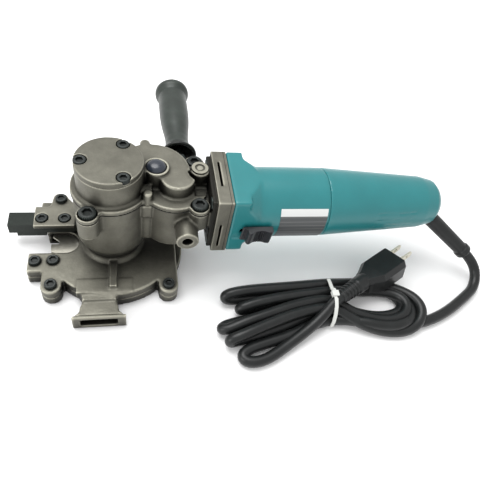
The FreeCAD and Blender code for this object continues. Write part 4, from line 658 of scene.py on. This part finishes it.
class REBARSAW_OT_plug(bpy.types.Operator):
    """Moulded plug with its ribbed relief and flat blades, and the white tie"""
    bl_idname = "rebar_saw.plug"
    bl_label = "Plug and tie"

    def execute(self, context):
        half = [(33, 8.6), (37, 9.8), (48, 14.9), (79.2, 15), (80, 14.2)]
        rings = []
        for along, wide in half:
            outline = [(wide, -11.5), (wide, 3.0), (wide - 3.2, 8.4), (3.2 - wide, 8.4), (-wide, 3.0),
                       (-wide, -11.5), (3.2 - wide, -12.8), (wide - 3.2, -12.8)]
            slim = 0.82 + 0.18 * min(1, (along - 33) / 13)
            rings.append([(along * MM, y * MM, z * slim * MM) for y, z in outline])
        bm = stacked(rings)
        bmesh.ops.bevel(bm, geom=bm.edges[:], offset=0.9 * MM, offset_type="OFFSET", segments=3, profile=0.5,
                        affect="EDGES", clamp_overlap=True, material=-1)
        ribs = [(0, 1.6), (5.2, 1.6)]
        for i in range(5):
            at = 2.2 + i * 3.9
            big = 6.9 + i * 0.2
            ribs += [(big - 1.5, at), (big, at + 0.7), (big, at + 2.2), (big - 1.5, at + 2.9)]
        ribs += [(7.6, 22.2), (8.0, 23.2), (8.3, 33), (7.8, 36), (0, 36)]
        relief = lathe(rounded(ribs, 0.5, 2), 40, Matrix.Rotation(math.radians(90), 4, "Y"))
        join_into(bm, relief)
        bmesh.ops.transform(bm, matrix=PLUG_TURN @ PLUG_ROLL, verts=bm.verts)
        plug = add_piece("plug_moulding", mesh_of(bm), "plug_body")

        blade = bmesh.new()
        for side in (-BLADE_SPACING / 2, BLADE_SPACING / 2):
            hole = [(HOLE_AT + HOLE_RADIUS * math.cos(t), BLADE_MIDDLE + HOLE_RADIUS * math.sin(t))
                    for t in (math.tau * i / HOLE_STEPS for i in range(HOLE_STEPS))]
            rim = []
            for x, z in hole:
                way = Vector((x - HOLE_AT, z - BLADE_MIDDLE)).normalized()
                reach = min((BLADE_TIP - HOLE_AT) / way.x if way.x > 1e-6 else 99,
                            -12 / way.x if way.x < -1e-6 else 99,
                            3.1 / abs(way.y) if abs(way.y) > 1e-6 else 99)
                corner = Vector((HOLE_AT, BLADE_MIDDLE)) + way * reach
                corner.x = min(corner.x, BLADE_TIP - 0.8 * max(0, abs(corner.y - BLADE_MIDDLE) - 1.4))
                rim.append((corner.x, corner.y))
            sides = []
            for shift, loop in ((BLADE_HALF, hole), (BLADE_HALF, rim), (-BLADE_HALF, rim), (-BLADE_HALF, hole)):
                sides.append([blade.verts.new((x * MM, (side + shift) * MM, z * MM)) for x, z in loop])
            for near, far in zip(sides, sides[1:] + sides[:1]):
                for i in range(HOLE_STEPS):
                    j = (i + 1) % HOLE_STEPS
                    blade.faces.new((near[i], near[j], far[j], far[i]))
        bmesh.ops.recalc_face_normals(blade, faces=blade.faces)
        pin = lathe(rounded([(0, 79), (2.4, 79), (2.4, 99), (1.4, 102), (0, 102)], 0.6), 24,
                    Matrix.Translation((0, 0, -8.2 * MM)) @ Matrix.Rotation(math.radians(90), 4, "Y"))
        join_into(blade, pin)
        bmesh.ops.transform(blade, matrix=PLUG_TURN @ PLUG_ROLL, verts=blade.verts)
        prongs = add_piece("plug_blades", mesh_of(blade), "plug_prongs")

        arch = [(-53, 0.9), (-73, 0.8), (-92, 0.9), (-95.0, 5), (-94.4, 12), (-91, 19.5), (-86, 25),
                (-80, 27.8), (-73, 27.2), (-66, 22.8), (-59, 20.8), (-53.2, 19), (-51.4, 13), (-51.2, 5)]
        strap = bmesh.new()
        rows = []
        for i, (y, z) in enumerate(arch):
            before, after = Vector(arch[i - 1]), Vector(arch[(i + 1) % len(arch)])
            out = Vector(((after - before).y, -(after - before).x)).normalized() * 0.6
            lean = (y + 73) * 0.10
            rows.append([strap.verts.new(((195 + lean + x) * MM, (y + k * out.x) * MM, (z + k * out.y) * MM))
                         for x, k in ((-1.7, 1), (1.7, 1), (1.7, -1), (-1.7, -1))])
        for a, b in zip(rows, rows[1:] + rows[:1]):
            for i in range(4):
                strap.faces.new((a[i], a[(i + 1) % 4], b[(i + 1) % 4], b[i]))
        lock = Matrix.Translation((194.6 * MM, -74.5 * MM, 27.9 * MM)) @ Matrix.Diagonal(
            (6.4 * MM, 5.6 * MM, 4.2 * MM, 1))
        tail = Matrix.Translation((195.2 * MM, -70.2 * MM, 27.6 * MM)) @ Matrix.Rotation(
            math.radians(-20), 4, "X") @ Matrix.Diagonal((3.0 * MM, 4.4 * MM, 1.2 * MM, 1))
        for place in (lock, tail):
            bmesh.ops.create_cube(strap, size=1, matrix=place)
        bmesh.ops.recalc_face_normals(strap, faces=strap.faces)
        tie = add_piece("white_tie", with_modifiers(mesh_of(strap), ("BEVEL", {
            "width": 0.4 * MM, "segments": 2, "limit_method": "ANGLE", "profile": 0.5})), "cable_tie")
        return {"FINISHED"}


# ---------------------------------------------------------------- gear head


class REBARSAW_OT_castings(bpy.types.Operator):
    """Gear housing, its cover, the blade case tray, the guide bracket and the motor plate"""
    bl_idname = "rebar_saw.castings"
    bl_label = "Castings"

    def execute(self, context):
        shape = settings(context)[1]
        voxel = shape.casting_voxel
        for node, name, rounds in (
                ("gear_housing", "housing_casting", 3), ("gear_cover", "cover_casting", 3),
                ("lower_blade_cover", "tray_casting", 2), ("guide_bracket", "bracket_casting", 2),
                ("flange_plate", "motor_plate_casting", 2)):
            mesh = softened(node, voxel * (0.7 if node in ("guide_bracket", "flange_plate") else 1), rounds)
            if node == "flange_plate":
                for vertex in mesh.vertices:
                    vertex.co.x -= 2.9 * MM * min(1, max(0, (95.2 * MM - vertex.co.x) / (1.4 * MM)))
            add_piece(name, mesh, node, smooth=math.radians(60))
        add_piece("cap_disc", softened("spindle_cap", voxel * 0.55, 3, 90000), "spindle_cap",
                  smooth=math.radians(60))
        return {"FINISHED"}


class REBARSAW_OT_fittings(bpy.types.Operator):
    """Screws, oil plug, lock button, guide bar and wear strip"""
    bl_idname = "rebar_saw.fittings"
    bl_label = "Head fittings"

    def execute(self, context):
        shape = settings(context)[1]
        for node, name, head in (
                ("cover_bolts", "corner_screws", 4.2), ("prong_screws", "fork_screws", 3.6),
                ("case_bolts", "head_bolts", 5.0), ("cap_screws", "cap_disc_screws", 3.6),
                ("bracket_screws", "bracket_bolts", 3.6)):
            bm = bmesh.new()
            for low, high in islands(node):
                centre = (low + high) / 2
                join_into(bm, socket_screw(centre, low.z, high.z, (high.x - low.x) / 2, head * MM,
                                           shape.knurl_count))
            add_piece(name, mesh_of(bm), node, smooth=math.radians(30))
        add_piece("bar", eased("guide_bar", 0.5 * MM), "guide_bar")
        add_piece("strip", eased("wear_strip", 0.4 * MM), "wear_strip")
        add_piece("filler_plug", eased("oil_plug", 0.3 * MM), "oil_plug")
        low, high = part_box("lock_button")
        centre = (low + high) / 2
        pocket = [(0, 101.5), (2.6, 101.5), (2.6, 105.4), (6.7, 105.4), (6.7, 101.5), (8.1, 101.5)]
        crown = [(8.1, 104.6), (7.6, 106.2), (6.6, 107.5), (5.2, 108.5), (3.4, 109.15), (1.6, 109.45), (0, 109.5)]
        dome = rounded(pocket + crown, 0.5, 2)
        add_piece("lock_dome", mesh_of(lathe(dome, 48, Matrix.Translation((centre.x, centre.y, 0)))),
                  "lock_button", smooth=math.radians(50))
        return {"FINISHED"}


class REBARSAW_OT_motor(bpy.types.Operator):
    """Motor body in two mouldings, its switch slide, rating plate and cord guard"""
    bl_idname = "rebar_saw.motor"
    bl_label = "Motor"

    def execute(self, context):
        shape = settings(context)[1]
        for node, name, rounds in (("motor_housing", "motor_shell", 12), ("rear_cover", "tail_shell", 6)):
            add_piece(name, softened(node, shape.shell_voxel, rounds), node, smooth=math.radians(60))
        profile = [(108.4, 31.9), (107.6, 32.8), (107.6, 33.6), (108.6, 34.2), (111.6, 34.4), (112.4, 37.6),
                   (113.6, 39.2), (115.6, 39.0), (118.5, 37.2), (122.5, 36.3), (126.5, 36.6), (130.5, 38.0),
                   (132.6, 38.2), (134, 37.0), (134, 31.9)]
        stem = [(121, 31.7), (121, 29.2), (115, 29.2), (115, 31.7)]
        tilt = Matrix.Translation((0, 0, MOTOR_AXIS)) @ Matrix.Rotation(math.radians(8), 4, "X")
        bm = stacked([[(x * MM, -out * MM, side * MM) for x, out in profile] for side in (-9, 9)])
        bmesh.ops.bevel(bm, geom=bm.edges[:], offset=0.5 * MM, offset_type="OFFSET", segments=2, profile=0.5,
                        affect="EDGES", clamp_overlap=True, material=-1)
        for i in range(6):
            at = 117.4 + i * 2.0
            ridge = stacked([[((at + x) * MM, -(35.4 + out) * MM, side * MM)
                              for x, out in ((-0.5, 0), (-0.35, 1.9), (0.35, 1.9), (0.5, 0))]
                             for side in (-7.6, 7.6)])
            join_into(bm, ridge)
        join_into(bm, stacked([[(x * MM, -out * MM, side * MM) for x, out in stem] for side in (-2.4, 2.4)]))
        bmesh.ops.transform(bm, matrix=tilt, verts=bm.verts)
        add_piece("slide_button", mesh_of(bm), "switch_slide", smooth=math.radians(40))
        add_piece("blank_plate", copy_of_node("rating_label"), "rating_label")
        guard = rounded([(0, -6), (8.5, -6), (8.5, 0.5), (7.6, 2), (7.3, 30), (6.9, 56), (6.9, 59),
                         (8.0, 60), (8.0, 65), (7.2, 66), (0, 66)], 0.8)
        turn = Matrix.Translation(GUARD_START) @ GUARD_WAY.to_track_quat("Z", "Y").to_matrix().to_4x4()
        add_piece("guard_sleeve", mesh_of(lathe(guard, 48, turn)), "cord_guard")
        return {"FINISHED"}


class REBARSAW_OT_handle(bpy.types.Operator):
    """Side handle: rubber grip on its hexagon stud"""
    bl_idname = "rebar_saw.handle"
    bl_label = "Side handle"

    def execute(self, context):
        grip = [(4.2, 69), (9.5, 63), (14, 57), (16.2, 57), (17, 58.6), (15.8, 60.5), (12.4, 64.5),
                (11.2, 70), (10.9, 79), (11.7, 88), (12.9, 97), (13.9, 106), (14.4, 116), (14.5, 128),
                (14.3, 140), (14.1, 145.5), (15.6, 148.2), (17.1, 150.5), (17.2, 154.6), (15.6, 157),
                (0, 157), (0, 145), (4.2, 145)]
        turn = Matrix.Translation((60.4 * MM, 0, MOTOR_AXIS)) @ Matrix.Rotation(math.radians(-90), 4, "X")
        bm = lathe(rounded(grip + grip[:1], 1.2), 72, turn)
        add_piece("grip", mesh_of(bm), "handle_grip", smooth=math.radians(50))
        add_piece("hexagon_stud", eased("handle_stud", 0.4 * MM), "handle_stud")
        return {"FINISHED"}


class REBARSAW_OT_working_parts(bpy.types.Operator):
    """Blade, spindle, gears, bearings and motor windings"""
    bl_idname = "rebar_saw.working_parts"
    bl_label = "Working parts"

    def execute(self, context):
        add_piece("disc_blade", eased("saw_blade", 0.15 * MM, 1), "saw_blade")
        for node, obj in NODES.items():
            obj.data.materials.clear()
            obj.data.materials.append(finish_of(slot_of_node(node)))
        return {"FINISHED"}


class REBARSAW_PT_panel(bpy.types.Panel):
    """The saw's operators and settings"""
    bl_idname = "REBARSAW_PT_panel"
    bl_label = "Rebar saw"
    bl_space_type = "VIEW_3D"
    bl_region_type = "UI"
    bl_category = "Rebar saw"

    def draw(self, context):
        for operator in OPERATORS:
            self.layout.operator(operator.bl_idname)
        for group in settings(context):
            for name in group.__annotations__:
                self.layout.prop(group, name)


GROUPS = {"rebar_saw_finish": RebarSawFinish, "rebar_saw_shape": RebarSawShape,
          "rebar_saw_stage": RebarSawStage}
OPERATORS = (REBARSAW_OT_stage, REBARSAW_OT_cord, REBARSAW_OT_plug, REBARSAW_OT_castings,
             REBARSAW_OT_fittings, REBARSAW_OT_motor, REBARSAW_OT_handle, REBARSAW_OT_working_parts)


def register():
    for cls in (*GROUPS.values(), *OPERATORS, REBARSAW_PT_panel):
        bpy.utils.register_class(cls)
    for name, group in GROUPS.items():
        setattr(bpy.types.Scene, name, bpy.props.PointerProperty(type=group))


def unregister():
    for name in GROUPS:
        delattr(bpy.types.Scene, name)
    for cls in (REBARSAW_PT_panel, *reversed(OPERATORS), *GROUPS.values()):
        bpy.utils.unregister_class(cls)


def main():
    register()
    for operator in OPERATORS:
        family, name = operator.bl_idname.split(".")
        getattr(getattr(bpy.ops, family), name)()


if __name__ == "__main__":
    main()
